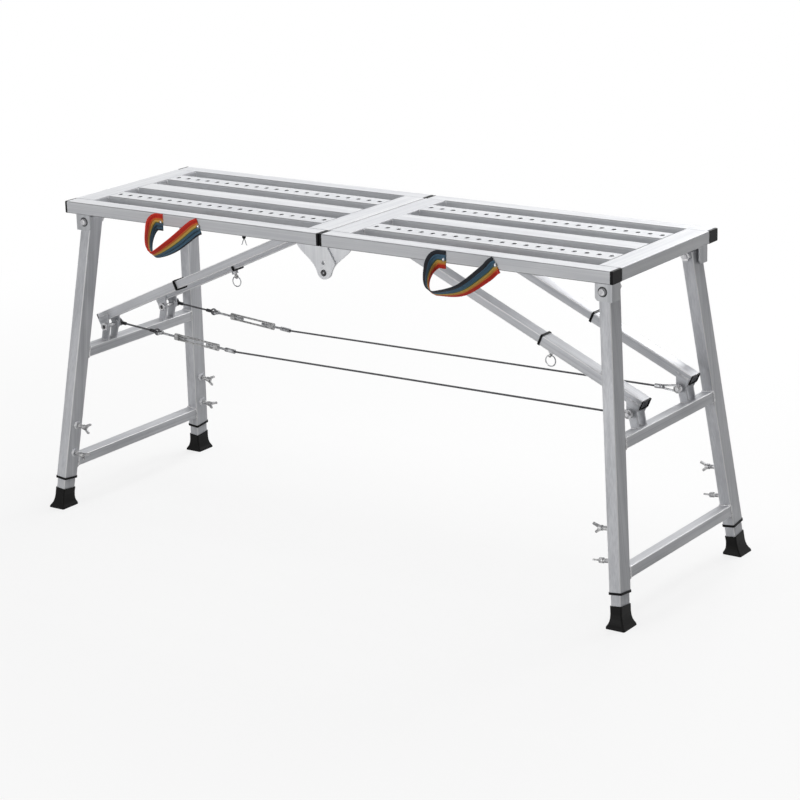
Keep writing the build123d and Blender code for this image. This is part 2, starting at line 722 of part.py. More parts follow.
with BuildPart() as tie_wires:
    for row_place in TIE_ROWS.values():
        tie_eye(row_place, 0, True)
        tie_rod(row_place, eye_middle, strop_length - eye_middle, wire_diameter)
        tie_eye(row_place, strop_length, True)
        wire_start = tie_end - wire_line * wire_gap + ACROSS * row_place
        with BuildSketch(Plane(origin=wire_start, z_dir=-wire_line)):
            Circle(wire_diameter / 2)
        extrude(amount=wire_span.length - 2 * wire_gap)
hand_in(tie_wires, "tie_wires")

loop_throat = loop_length - loop_ferrule
strand_row = (wire_diameter + wire_gap) / 2
touch_angle = atan2(strand_row, loop_throat) + acos(loop_radius / hypot(loop_throat, strand_row))
upper_touch = (loop_radius * cos(touch_angle), loop_radius * sin(touch_angle))
lower_touch = (loop_radius * cos(touch_angle), -loop_radius * sin(touch_angle))
with BuildPart() as wire_end_loops:
    for row_place in LOOP_ROWS:
        loop_plane = Plane(origin=strut_foot + ACROSS * row_place, x_dir=loop_way, z_dir=FRONTWARD)
        with BuildLine(loop_plane, mode=Mode.PRIVATE) as loop_line:
            Line((loop_throat, strand_row), upper_touch)
            ThreePointArc(upper_touch, (-loop_radius, 0), lower_touch)
            Line(lower_touch, (loop_throat, -strand_row))
        loop_path = loop_line.wires()[0]
        with BuildSketch(Plane(origin=loop_path @ 0, z_dir=loop_path % 0)):
            Circle(wire_diameter / 2)
        sweep(path=loop_path)
        ferrule_start = loop_plane.origin + loop_way * (loop_throat - wire_diameter)
        with BuildSketch(Plane(origin=ferrule_start, x_dir=ACROSS, z_dir=loop_way)):
            Circle(ferrule_diameter / 2)
        extrude(amount=loop_ferrule + wire_diameter)
hand_in(wire_end_loops, "wire_end_loops")

# Webbing handles on the front rail of each half
rail_front = deck_width / 2
strap_base = deck_height - strap_top_gap - strap_width
for half, start_x in handle_starts.items():
    return_angle = strap_return_angles[half]
    with BuildPart() as handle:
        with BuildSketch(Plane.XY.offset(strap_base - strap_lowest[1])):
            with BuildLine() as strap_line:
                tail = Line((start_x + strap_tail, -rail_front), (start_x, -rail_front))
                first_bend = JernArc(tail @ 1, tail % 1, strap_first_bend, 90)
                run_out = Line(first_bend @ 1, (first_bend @ 1) + (first_bend % 1) * strap_run_outs[half])
                front_bend = JernArc(run_out @ 1, run_out % 1, strap_front_bend, 90 + return_angle)
                last_rise = strap_last_bend * (1 - cos(radians(return_angle)))
                return_rise = -rail_front - strap_thickness - last_rise - (front_bend @ 1).Y
                return_length = return_rise / sin(radians(return_angle))
                run_back = Line(front_bend @ 1, (front_bend @ 1) + (front_bend % 1) * return_length)
                last_bend = JernArc(run_back @ 1, run_back % 1, strap_last_bend, -return_angle)
                Line(last_bend @ 1, (last_bend @ 1) + (last_bend % 1) * strap_end_tail)
                offset(amount=strap_thickness, side=Side.LEFT)
            make_face()
        extrude(amount=strap_lowest[1] + strap_width)
        fall = [(-strap_thickness, 0.0)]
        for out, drop in (strap_level, strap_knee, strap_lowest):
            fall.append((out, -drop))
        rise = [(out, drop + strap_width) for out, drop in reversed(fall)]
        with BuildSketch(Plane(origin=(0, -rail_front, strap_base), x_dir=FRONTWARD, z_dir=-ALONG)):
            with BuildLine():
                Polyline(*fall, *rise, close=True)
            make_face()
        extrude(amount=deck_length, both=True, mode=Mode.INTERSECT)
    hand_in(handle, f"{half}_handle")
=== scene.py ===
"""Dress the folding work platform: plated steel tubes, rubber feet, webbing handles, wire ties."""

import logging
import math
from dataclasses import dataclass, field
from enum import Enum
from typing import Iterable, Sequence

import bmesh
import bpy
from mathutils import Matrix, Vector


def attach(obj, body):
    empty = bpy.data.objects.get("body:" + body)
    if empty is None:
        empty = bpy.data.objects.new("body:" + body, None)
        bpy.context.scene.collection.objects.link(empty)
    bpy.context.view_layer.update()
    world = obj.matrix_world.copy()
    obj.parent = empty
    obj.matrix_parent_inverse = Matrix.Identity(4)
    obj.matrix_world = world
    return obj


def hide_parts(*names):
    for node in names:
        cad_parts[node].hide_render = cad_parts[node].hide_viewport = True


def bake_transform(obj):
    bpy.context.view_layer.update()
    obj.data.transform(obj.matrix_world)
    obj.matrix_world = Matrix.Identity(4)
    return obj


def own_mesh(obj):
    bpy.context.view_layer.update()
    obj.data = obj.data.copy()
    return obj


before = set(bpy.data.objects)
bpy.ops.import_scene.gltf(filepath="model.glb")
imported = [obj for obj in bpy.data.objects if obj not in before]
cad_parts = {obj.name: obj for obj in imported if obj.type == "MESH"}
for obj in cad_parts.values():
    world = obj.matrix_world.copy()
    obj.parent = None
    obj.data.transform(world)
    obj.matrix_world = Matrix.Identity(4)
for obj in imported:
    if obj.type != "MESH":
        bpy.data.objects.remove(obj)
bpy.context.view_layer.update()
log = logging.getLogger("platform")

UP = Vector((0.0, 0.0, 1.0))
ACROSS = Vector((0.0, 1.0, 0.0))
ALONG = Vector((1.0, 0.0, 0.0))
HALVES = {"left": -1, "right": 1}
ROWS = (-1, 1)
FULL_TURN = 2 * math.pi
Profile = Sequence[tuple[float, float]]


class Tone(Enum):
    """Colours of the finishes, as linear red, green and blue."""

    DECK_LIGHT = (0.77, 0.78, 0.80)
    DECK_DARK = (0.62, 0.63, 0.66)
    LEG_LIGHT = (0.74, 0.75, 0.78)
    LEG_DARK = (0.54, 0.55, 0.58)
    INNER_LIGHT = (0.70, 0.71, 0.74)
    INNER_DARK = (0.54, 0.55, 0.58)
    PLATE_LIGHT = (0.86, 0.87, 0.89)
    PLATE_DARK = (0.72, 0.73, 0.76)
    BRACKET_LIGHT = (0.62, 0.63, 0.65)
    BRACKET_DARK = (0.46, 0.47, 0.49)
    BOLT_LIGHT = (0.93, 0.93, 0.94)
    BOLT_DARK = (0.58, 0.58, 0.60)
    ZINC_LIGHT = (0.50, 0.50, 0.50)
    ZINC_DARK = (0.22, 0.22, 0.22)
    ROD_LIGHT = (0.52, 0.53, 0.54)
    ROD_DARK = (0.20, 0.20, 0.21)
    WIRE_LIGHT = (0.15, 0.15, 0.16)
    WIRE_DARK = (0.035, 0.035, 0.038)
    # Painted highlight on the rounded corners of the steel tubes.
    POLISHED = (0.97, 0.97, 0.98)
    # Painted shade on the rounded corners of the deck tubes.
    SHADED_EDGE = (0.16, 0.16, 0.17)
    WELD_LIGHT = (0.74, 0.74, 0.75)
    WELD_DARK = (0.46, 0.46, 0.47)
    BURNT_LIGHT = (0.78, 0.78, 0.79)
    BURNT_DARK = (0.36, 0.36, 0.37)
    WING_LIGHT = (0.66, 0.66, 0.66)
    WING_DARK = (0.30, 0.30, 0.31)
    # Tones of the dark fittings: rivet heads and cores, and the rings under the leg bolt heads,
    # whose darkness is painted shade.
    DARK_OXIDE = (0.030, 0.030, 0.032)
    WORN_OXIDE = (0.085, 0.085, 0.088)
    BLACK_PLASTIC = (0.005, 0.005, 0.006)
    GREY_SCUFF = (0.016, 0.016, 0.016)
    RUBBER = (0.005, 0.005, 0.005)
    RUBBER_DUST = (0.016, 0.016, 0.015)
    FLOOR_LIT = (0.34, 0.34, 0.34)
    FLOOR_SEEN = (0.95, 0.95, 0.95)
    WHITE = (1.0, 1.0, 1.0)
    RED = (0.88, 0.040, 0.016)
    ORANGE = (1.0, 0.27, 0.045)
    YELLOW = (1.0, 0.60, 0.12)
    GREEN = (0.15, 0.20, 0.05)
    TEAL = (0.085, 0.19, 0.29)
    NAVY = (0.010, 0.012, 0.018)


def spot(x: float, y: float, z: float) -> Vector:
    """Dataclass field that holds a point or a direction."""
    return field(default_factory=lambda: Vector((x, y, z)))


def turned(side: int, vector: Vector) -> Vector:
    """Carry a point or direction of the right half to the given half by a half turn about Z."""
    return Vector((side * vector.x, side * vector.y, vector.z))


def angles(count: int) -> list[float]:
    """Evenly spread angles of one turn."""
    return [FULL_TURN * number / count for number in range(count)]


def square_to(origin: Vector, axis: Vector, side: Vector = ACROSS) -> Matrix:
    """Placing matrix whose Z runs along an axis.

    Args:
        origin: Point that the matrix moves the origin to.
        axis: Direction of the matrix's Z.
        side: Direction near the matrix's X.

    Returns:
        A rigid 4x4 matrix.
    """
    z = axis.normalized()
    x = (side - z * side.dot(z)).normalized()
    turn = Matrix((x, z.cross(x), z)).transposed().to_4x4()
    return Matrix.Translation(origin) @ turn


@dataclass(frozen=True)
class Layout:
    """Places of the platform's pieces in metres, described on the right half."""

    deck_end: float = 0.650
    deck_start: float = 0.001
    deck_top: float = 0.660
    deck_depth: float = 0.025
    rail_front: float = 0.200
    rail_inner: float = 0.165
    cross_rail: float = 0.050
    slat_pitch: float = 0.095
    slat_width: float = 0.050
    perforation_pitch: float = 0.02625
    perforation_count: int = 21
    leg_pivot: Vector = spot(0.618, 0.0, 0.615)
    leg_top_row: float = 0.155
    foot: Vector = spot(0.683, 0.230, 0.0)
    leg_width: float = 0.038
    leg_depth: float = 0.025
    bar_rises: tuple[float, float] = (0.332, 0.095)
    bar_height: float = 0.022
    pin_rise: float = 0.0416
    pin_inset: float = 0.006
    strut_row: float = 0.095
    strut_offset: float = 0.022
    strut_head: Vector = spot(0.140, 0.0, 0.621)
    strut_width: float = 0.032
    strut_depth: float = 0.020
    tie_offset: float = 0.026
    tie_droop: float = 0.024
    tie_length: float = 0.313
    hinge_drop: float = 0.055
    hinge_face: float = 0.188

    @property
    def deck_under(self) -> float:
        """Height of the deck's underside."""
        return self.deck_top - self.deck_depth

    @property
    def lean(self) -> float:
        """Angle at which a leg frame leans out."""
        return math.atan2(self.foot.x - self.leg_pivot.x, self.leg_pivot.z)

    @property
    def down_frame(self) -> Vector:
        """Direction down the leg frame's middle."""
        return Vector((math.sin(self.lean), 0.0, -math.cos(self.lean)))

    @property
    def inward(self) -> Vector:
        """Direction out of the leg frame towards the platform's middle."""
        return Vector((-math.cos(self.lean), 0.0, -math.sin(self.lean)))

    def leg_top(self, row: int) -> Vector:
        """Centre of a leg at its pivot."""
        return self.leg_pivot + ACROSS * (row * self.leg_top_row)

    def leg_line(self, row: int) -> Vector:
        """Direction down a leg."""
        return (Vector((self.foot.x, row * self.foot.y, 0.0)) - self.leg_top(row)).normalized()

    def bar(self, rise: float) -> Vector:
        """Middle of a crossbar at a height over the floor."""
        drop = self.leg_pivot.z - rise
        return self.leg_pivot + self.down_frame * (drop / math.cos(self.lean))

    @property
    def lug_pin(self) -> Vector:
        """Lower pivot of the struts."""
        over_bar = self.bar(self.bar_rises[0]) - self.down_frame * self.pin_rise
        return over_bar + self.inward * self.pin_inset

    @property
    def strut_line(self) -> Vector:
        """Direction up a strut from its lower pivot."""
        span = self.strut_head - self.lug_pin
        slope = math.atan2(span.z, -span.x) - math.asin(self.strut_offset / span.length)
        return Vector((-math.cos(slope), 0.0, math.sin(slope)))

    @property
    def strut_over(self) -> Vector:
        """Direction out of a strut's upper face."""
        return Vector((self.strut_line.z, 0.0, -self.strut_line.x))

    @property
    def left_pin(self) -> Vector:
        """Lug pin of the left frame."""
        return turned(-1, self.lug_pin)

    @property
    def tie_line(self) -> Vector:
        """Direction along a tie from the left pin."""
        slope = math.asin(self.tie_droop / self.tie_length)
        return Vector((math.cos(slope), 0.0, -math.sin(slope)))

    @property
    def tie_rows(self) -> dict[str, tuple[float, float]]:
        """Places of the two ties across the platform, at the left pins and at the right ones."""
        return {"front": (self.tie_offset - self.strut_row, -self.tie_offset - self.strut_row),
                "rear": (self.tie_offset + self.strut_row, self.strut_row - self.tie_offset)}


class Field:
    """A number that varies over a surface, kept as a node socket, with plain arithmetic."""

    def __init__(self, recipe: "Recipe", socket: bpy.types.NodeSocket) -> None:
        """Keep the socket and the recipe that it belongs to."""
        self.recipe = recipe
        self.socket = socket

    def _join(self, operation: str, first: "Field | float", second: "Field | float") -> "Field":
        """Add one Math node."""
        made = self.recipe.add("ShaderNodeMath", {"operation": operation}, {0: first, 1: second})
        return Field(self.recipe, made.outputs[0])

    def __add__(self, other: "Field | float") -> "Field":
        """Sum, also with a number on the left."""
        return self._join("ADD", self, other)

    __radd__ = __add__

    def __sub__(self, other: "Field | float") -> "Field":
        """Difference."""
        return self._join("SUBTRACT", self, other)

    def __rsub__(self, other: float) -> "Field":
        """Difference with a number on the left."""
        return self._join("SUBTRACT", other, self)

    def __mul__(self, other: "Field | float") -> "Field":
        """Product, also with a number on the left."""
        return self._join("MULTIPLY", self, other)

    __rmul__ = __mul__

    def __pow__(self, other: float) -> "Field":
        """Power."""
        return self._join("POWER", self, other)

    def least(self, other: "Field | float") -> "Field":
        """Smaller of two values."""
        return self._join("MINIMUM", self, other)

    def most(self, other: "Field | float") -> "Field":
        """Larger of two values."""
        return self._join("MAXIMUM", self, other)

    def sine(self) -> "Field":
        """Sine of the value."""
        return self._join("SINE", self, 0.0)

    def size(self) -> "Field":
        """Value without its sign."""
        return self._join("ABSOLUTE", self, 0.0)

    def crest(self) -> "Field":
        """Wave from 0 at each whole number to 1 half way to the next."""
        return 1.0 - ((self._join("FRACT", self, 0.0) - 0.5) * 2.0).size()

    def step(self, low: float, high: float) -> "Field":
        """Smooth rise from 0 to 1.

        Args:
            low: Value at which it starts.
            high: Value at which it is complete.

        Returns:
            The rise.
        """
        made = self.recipe.add("ShaderNodeMapRange", {"interpolation_type": "SMOOTHSTEP"},
                               {"Value": self, "From Min": low, "From Max": high})
        return Field(self.recipe, made.outputs["Result"])


class Recipe:
    """Node tree of one finish, or of the surround."""

    def __init__(self, owner: bpy.types.Material | bpy.types.World) -> None:
        """Start from the owner's plain shader.

        Args:
            owner: Material or world whose node tree this is.
        """
        owner.use_nodes = True
        self.owner = owner
        self.tree = owner.node_tree
        plain = "Background" if isinstance(owner, bpy.types.World) else "Principled BSDF"
        self.shader = self.tree.nodes[plain]

    @classmethod
    def named(cls, name: str) -> "Recipe":
        """Start a new material."""
        return cls(bpy.data.materials.new(name))

    def add(self, kind: str, settings: dict, inputs: dict) -> bpy.types.Node:
        """Add a node.

        Args:
            kind: Type name of the node.
            settings: Attributes that are set before its sockets.
            inputs: Values or links by socket name or number.

        Returns:
            The new node.
        """
        made = self.tree.nodes.new(kind)
        for key, value in settings.items():
            if key == "stops":
                self._sharp_stops(made.color_ramp, value)
            else:
                setattr(made, key, value)
        for key, value in inputs.items():
            self.feed(made.inputs[key], value)
        return made

    @staticmethod
    def _sharp_stops(ramp: bpy.types.ColorRamp, stops: Sequence[tuple[float, Tone]]) -> None:
        """Set the stops of a colour ramp that changes at once from band to band.

        Args:
            ramp: The ramp.
            stops: Where each band starts, and its colour.
        """
        ramp.interpolation = "CONSTANT"
        while len(ramp.elements) < len(stops):
            ramp.elements.new(1.0)
        for element, (place, tone) in zip(ramp.elements, stops):
            element.position = place
            element.color = (*tone.value, 1.0)

    def feed(self, socket: bpy.types.NodeSocket, value: object) -> None:
        """Link a field or socket to a socket, or set its value.

        Args:
            socket: The socket that is fed.
            value: A field, a socket, a tone or a plain value.
        """
        if isinstance(value, Field):
            self.tree.links.new(value.socket, socket)
        elif isinstance(value, bpy.types.NodeSocket):
            self.tree.links.new(value, socket)
        elif isinstance(value, Tone):
            socket.default_value = (*value.value, 1.0)
        else:
            socket.default_value = value

    def place(self, kind: str) -> bpy.types.NodeSocket:
        """Coordinates of a kind, such as Object, UV or Normal."""
        return self.add("ShaderNodeTexCoord", {}, {}).outputs[kind]

    def noise(self, along: Vector, grain: tuple[float, float], detail: float) -> Field:
        """Soft noise between 0 and 1, drawn out along a direction.

        Args:
            along: Direction of the grain.
            grain: Size of one unit of noise along the grain and across it, in metres.
            detail: How many finer layers it has.

        Returns:
            The noise.
        """
        length, width = grain
        turn = ALONG.rotation_difference(along).to_euler()
        mapping = self.add("ShaderNodeMapping", {"vector_type": "TEXTURE"},
                           {"Vector": self.place("Object"), "Rotation": turn,
                            "Scale": (length, width, width)})
        made = self.add("ShaderNodeTexNoise", {},
                        {"Vector": mapping.outputs[0], "Scale": 1.0, "Detail": detail})
        return Field(self, made.outputs[0])

    def speckle(self, size: float, detail: float) -> Field:
        """Soft noise of one size in all directions."""
        return self.noise(ALONG, (size, size), detail)

    def uv(self) -> tuple[Field, Field]:
        """The piece's own two surface coordinates."""
        split = self.add("ShaderNodeSeparateXYZ", {}, {0: self.place("UV")})
        return Field(self, split.outputs[0]), Field(self, split.outputs[1])

    def corner(self, axis: Vector) -> Field:
        """1 on a tube's rounded corners and 0 on its faces.

        Args:
            axis: Direction that two of the tube's faces look along.

        Returns:
            The share.
        """
        made = self.add("ShaderNodeVectorMath", {"operation": "DOT_PRODUCT"},
                        {0: self.place("Normal"), 1: axis})
        face = Field(self, made.outputs["Value"]).size().least(1.0)
        return (face * (1.0 - face * face) ** 0.5 * 2.0).step(0.45, 0.9)

    def mix(self, share: Field, first: object, second: object) -> bpy.types.NodeSocket:
        """Blend two colours by a share."""
        made = self.add("ShaderNodeMix", {"data_type": "RGBA"}, {0: share, 6: first, 7: second})
        return made.outputs[2]

    def bands(self, value: Field, stops: Sequence[tuple[float, Tone]]) -> bpy.types.NodeSocket:
        """Colour bands along a value."""
        return self.add("ShaderNodeValToRGB", {"stops": stops}, {0: value}).outputs[0]

    def bump(self, height: Field, depth: float, strength: float) -> bpy.types.NodeSocket:
        """Surface relief from a height between 0 and 1, as deep as given in metres."""
        return self.add("ShaderNodeBump", {}, {"Height": height, "Distance": depth,
                                               "Strength": strength}).outputs[0]

    def close(self, **sockets: object) -> bpy.types.Material:
        """Feed the shader's sockets.

        Args:
            **sockets: Values by socket name, with underscores for spaces.

        Returns:
            The owner of the node tree.
        """
        for name, value in sockets.items():
            self.feed(self.shader.inputs[name.replace("_", " ")], value)
        return self.owner


@dataclass(frozen=True)
class PlatedSteel:
    """Zinc-plated tube or plate with fine drawing lines, cloudy plating and a painted line on its
    rounded corners: a painted highlight in the bright edge tone, painted shade in a dark one.
    """

    name: str
    along: Vector
    light: Tone
    dark: Tone
    metallic: float = 0.12
    rough: float = 0.30
    # Share of the painted line on the rounded corners.
    painted_edge: float = 0.95
    edge: Tone = Tone.POLISHED
    line_grain: tuple[float, float] = (0.30, 0.0016)
    streak_grain: tuple[float, float] = (0.55, 0.013)
    cloud_grain: tuple[float, float] = (0.16, 0.05)
    speck_grain: tuple[float, float] = (0.004, 0.003)
    relief: float = 0.00012

    def make(self) -> bpy.types.Material:
        """Build the material.

        Returns:
            The new material.
        """
        recipe = Recipe.named(self.name)
        corner = recipe.corner(ALONG if self.along == ACROSS else ACROSS)
        lines = recipe.noise(self.along, self.line_grain, detail=4.0)
        streaks = recipe.noise(self.along, self.streak_grain, detail=2.0)
        clouds = recipe.noise(self.along, self.cloud_grain, detail=3.0)
        specks = recipe.noise(self.along, self.speck_grain, detail=2.0).step(0.66, 0.74)
        wear = (lines * 0.35 + streaks * 0.35 + clouds * 0.3).step(0.36, 0.64)
        colour = recipe.mix(wear, self.dark, self.light)
        colour = recipe.mix(specks * 0.22, colour, self.dark)
        # Painted line on the rounded corners: a painted highlight with the bright edge tone,
        # painted shade with the dark one.
        colour = recipe.mix(corner * self.painted_edge, colour, self.edge)
        rough = self.rough + (1.0 - wear) * 0.12 + lines * 0.06
        height = lines * 0.7 + clouds * 0.3
        return recipe.close(Base_Color=colour, Metallic=self.metallic, Roughness=rough,
                            Normal=recipe.bump(height, self.relief, strength=0.5))


@dataclass(frozen=True)
class ZincFitting:
    """Zinc-plated fitting with a mottled passivated tint."""

    name: str
    light: Tone
    dark: Tone
    metallic: float = 0.85
    rough: float = 0.3
    mottle_size: float = 0.007
    grime_size: float = 0.02
    relief: float = 0.0001

    def make(self) -> bpy.types.Material:
        """Build the material.

        Returns:
            The new material.
        """
        recipe = Recipe.named(self.name)
        mottle = recipe.speckle(self.mottle_size, detail=4.0).step(0.35, 0.7)
        grime = recipe.speckle(self.grime_size, detail=3.0).step(0.5, 0.75)
        colour = recipe.mix(mottle, self.dark, self.light)
        colour = recipe.mix(grime * 0.35, colour, self.dark)
        return recipe.close(Base_Color=colour, Metallic=self.metallic,
                            Roughness=self.rough + grime * 0.2,
                            Normal=recipe.bump(mottle, self.relief, strength=0.4))


@dataclass(frozen=True)
class WeldMetal:
    """Rippled weld bead."""

    name: str
    light: Tone
    dark: Tone
    metallic: float = 0.6
    rough: float = 0.32
    scale_size: float = 0.002
    tint_size: float = 0.012
    relief: float = 0.0003

    def make(self) -> bpy.types.Material:
        """Build the material.

        Returns:
            The new material.
        """
        recipe = Recipe.named(self.name)
        scale = recipe.speckle(self.scale_size, detail=4.0)
        tint = recipe.speckle(self.tint_size, detail=2.0)
        colour = recipe.mix((scale * 0.6 + tint * 0.4).step(0.35, 0.65), self.dark, self.light)
        return recipe.close(Base_Color=colour, Metallic=self.metallic,
                            Roughness=self.rough + scale * 0.2,
                            Normal=recipe.bump(scale, self.relief, strength=0.6))


@dataclass(frozen=True)
class Moulding:
    """Black moulded plastic or rubber with a fine grain and grey scuffs."""

    name: str
    base: Tone
    scuff: Tone
    rough: float
    grain_size: float
    shine: float
    scuff_grain: tuple[float, float] = (0.03, 0.012)
    relief: float = 0.0002

    def make(self) -> bpy.types.Material:
        """Build the material.

        Returns:
            The new material.
        """
        recipe = Recipe.named(self.name)
        grain = recipe.speckle(self.grain_size, detail=3.0)
        rubs = recipe.noise(ALONG, self.scuff_grain, detail=4.0).step(0.52, 0.8)
        colour = recipe.mix(rubs * 0.7 + grain * 0.15, self.base, self.scuff)
        return recipe.close(Base_Color=colour, Roughness=self.rough + rubs * 0.15 - grain * 0.06,
                            Specular_IOR_Level=self.shine,
                            Normal=recipe.bump(grain, self.relief, strength=0.5))


@dataclass(frozen=True)
class Webbing:
    """Woven webbing with coloured bands across its width, read from the strap's coordinates."""

    name: str
    bands: tuple[tuple[float, Tone], ...]
    length: float
    width: float
    pick: float = 0.0011
    end: float = 0.0009
    fuzz_size: float = 0.0012
    fade_size: float = 0.02
    relief: float = 0.0006

    def make(self) -> bpy.types.Material:
        """Build the material.

        Returns:
            The new material.
        """
        recipe = Recipe.named(self.name)
        across, run = recipe.uv()
        picks = (run * (self.length / self.pick * math.pi)).sine()
        ends = (across * (self.width / self.end * math.pi)).sine()
        weave = (picks * ends).size()
        fuzz = recipe.speckle(self.fuzz_size, detail=3.0)
        fade = recipe.speckle(self.fade_size, detail=3.0)
        selvedge = (across - 0.5).size().step(0.455, 0.5)
        colour = recipe.bands(across + (fuzz - 0.5) * 0.03, self.bands)
        colour = recipe.mix((1.0 - weave) * 0.16 + fade * 0.06, colour, Tone.NAVY)
        height = weave * 0.7 + fuzz * 0.3 + selvedge * 0.5
        return recipe.close(Base_Color=colour, Roughness=0.78 + fuzz * 0.15,
                            Sheen_Weight=0.08, Sheen_Roughness=0.5,
                            Normal=recipe.bump(height, self.relief, strength=0.7))


@dataclass(frozen=True)
class LaidWire:
    """Wire rope with a spiral lay, read from the rope's own coordinates."""

    name: str
    strands: float = 6.0
    threads: float = 5.0
    lay: float = 0.026
    thread_lay: float = 0.026 / 9.0
    relief: float = 0.0008

    def make(self) -> bpy.types.Material:
        """Build the material.

        Returns:
            The new material.
        """
        recipe = Recipe.named(self.name)
        turn, run = recipe.uv()
        crown = (turn * self.strands + run * (self.strands / self.lay)).crest()
        fine = turn * (self.strands * self.threads) - run * (self.strands / self.thread_lay)
        thread = fine.crest()
        shade = (crown ** 0.6).least(1.0) * 0.8 + thread * 0.2
        colour = recipe.mix(shade, Tone.WIRE_DARK, Tone.WIRE_LIGHT)
        return recipe.close(Base_Color=colour, Metallic=0.85, Roughness=0.42 - thread * 0.08,
                            Normal=recipe.bump(shade, self.relief, strength=0.9))


class Mould:
    """A bmesh in the making, turned into one piece at the end."""

    def __init__(self) -> None:
        """Start empty, with two coordinates on the points for a pattern along the surface."""
        self.mesh = bmesh.new()
        self.across = self.mesh.verts.layers.float.new("across")
        self.run = self.mesh.verts.layers.float.new("run")

    def loop_edges(self, points: Sequence[bmesh.types.BMVert]) -> list[bmesh.types.BMEdge]:
        """Edges that join points to each other.

        Args:
            points: The points.

        Returns:
            The edges, in the points' order.
        """
        wanted = set(points)
        near = dict.fromkeys(edge for point in points for edge in point.link_edges)
        return [edge for edge in near if wanted.issuperset(edge.verts)]

    def grow(self, points: Sequence[bmesh.types.BMVert]) -> list[bmesh.types.BMVert]:
        """Extrude a closed loop of points onto itself and return the new loop."""
        made = bmesh.ops.extrude_edge_only(self.mesh, edges=self.loop_edges(points))["geom"]
        return [item for item in made if isinstance(item, bmesh.types.BMVert)]

    def cover(self, points: Sequence[bmesh.types.BMVert]) -> None:
        """Close a loop of points with one face."""
        bmesh.ops.contextual_create(self.mesh, geom=self.loop_edges(points))

    def tube(self, places: Sequence[Matrix], radii: Sequence[float], sides: int) -> None:
        """Round tube with covered ends.

        Args:
            places: Placing matrices whose XY planes hold the rings.
            radii: One radius for each ring.
            sides: Number of sides.
        """
        loop = bmesh.ops.create_circle(self.mesh, radius=radii[0], segments=sides,
                                       matrix=places[0])["verts"]
        self.cover(loop)
        for before, place, old, new in zip(places, places[1:], radii, radii[1:]):
            loop = self.grow(loop)
            swell = Matrix.Diagonal((new / old, new / old, 1.0, 1.0))
            bmesh.ops.transform(self.mesh, matrix=place @ swell @ before.inverted(), verts=loop)
        self.cover(loop)

    def lathe(self, seat: Matrix, profile: Profile, sides: int) -> None:
        """Round solid along a placing matrix's Z, through pairs of height and radius."""
        self.tube([seat @ Matrix.Translation((0.0, 0.0, height)) for height, _ in profile],
                  [radius for _, radius in profile], sides)

    def cable(self, start: Vector, end: Vector, radius: float, steps: int) -> None:
        """Straight wire in even steps.

        Args:
            start: Where it starts.
            end: Where it ends.
            radius: Its radius.
            steps: Number of steps.
        """
        span = end - start
        places = [square_to(start + span * (step / steps), span) for step in range(steps + 1)]
        self.tube(places, [radius] * len(places), sides=10)

    def wind(self, origin: Matrix) -> None:
        """Write each point's share of a turn about Z and its place along Z.

        Args:
            origin: Placing matrix whose Z is meant.
        """
        for point in self.mesh.verts:
            local = origin.inverted() @ point.co
            point[self.across] = math.atan2(local.y, local.x) / FULL_TURN
            point[self.run] = local.z

    def outline(self, place: Matrix,
                profile: Profile) -> list[bmesh.types.BMVert | bmesh.types.BMEdge]:
        """Points, then edges, of a closed line through pairs of radius and height."""
        points = [self.mesh.verts.new(place @ Vector((out, 0.0, rise))) for out, rise in profile]
        return points + [self.mesh.edges.new(pair) for pair in zip(points, points[1:] + points[:1])]

    def turned_ring(self, place: Matrix, profile: Profile, steps: int = 24) -> None:
        """Closed profile of radius and height turned once about a placing matrix's Z."""
        bmesh.ops.spin(self.mesh, geom=self.outline(place, profile), cent=place.translation,
                       axis=place.to_3x3() @ UP, angle=FULL_TURN, steps=steps, use_merge=True)

    def thread(self, place: Matrix, radius: float, depth: float, pitch: float, turns: float,
               steps: int = 14) -> None:
        """Screw thread wound about a placing matrix's Z.

        Args:
            place: Matrix at the thread's start.
            radius: Radius of the stem.
            depth: How far the thread stands out of the stem.
            pitch: Rise of one turn.
            turns: Number of turns.
            steps: Steps in one turn.
        """
        root, flank = radius - depth * 0.3, pitch * 0.38
        line = self.outline(place, ((root, -flank), (radius + depth, 0.0), (root, flank)))
        face = self.mesh.faces.new(line[:3])
        count = round(steps * turns)
        axis = place.to_3x3() @ UP
        bmesh.ops.spin(self.mesh, geom=line + [face], cent=place.translation, axis=axis,
                       dvec=axis * (pitch * turns / count), angle=FULL_TURN * turns, steps=count)

    def bead(self, start: Vector, end: Vector, radius: float, pitch: float = 0.0016,
             ripple: float = 0.09, tip: float = 0.55) -> None:
        """Rippled weld bead between two points.

        Args:
            start: Where it starts.
            end: Where it ends.
            radius: Its mean radius.
            pitch: Length of one ripple.
            ripple: Share of the radius by which it swells and thins.
            tip: Share of the radius at its ends.
        """
        span = end - start
        count = max(4, round(span.length / pitch))
        side = ACROSS if abs(span.normalized().dot(ACROSS)) < 0.9 else ALONG
        places = [square_to(start + span * (step / count), span, side) for step in range(count + 1)]
        radii = [radius * (1.0 + ripple * (-1) ** step) for step in range(count + 1)]
        radii[0] = radii[-1] = radius * tip
        self.tube(places, radii, sides=8)

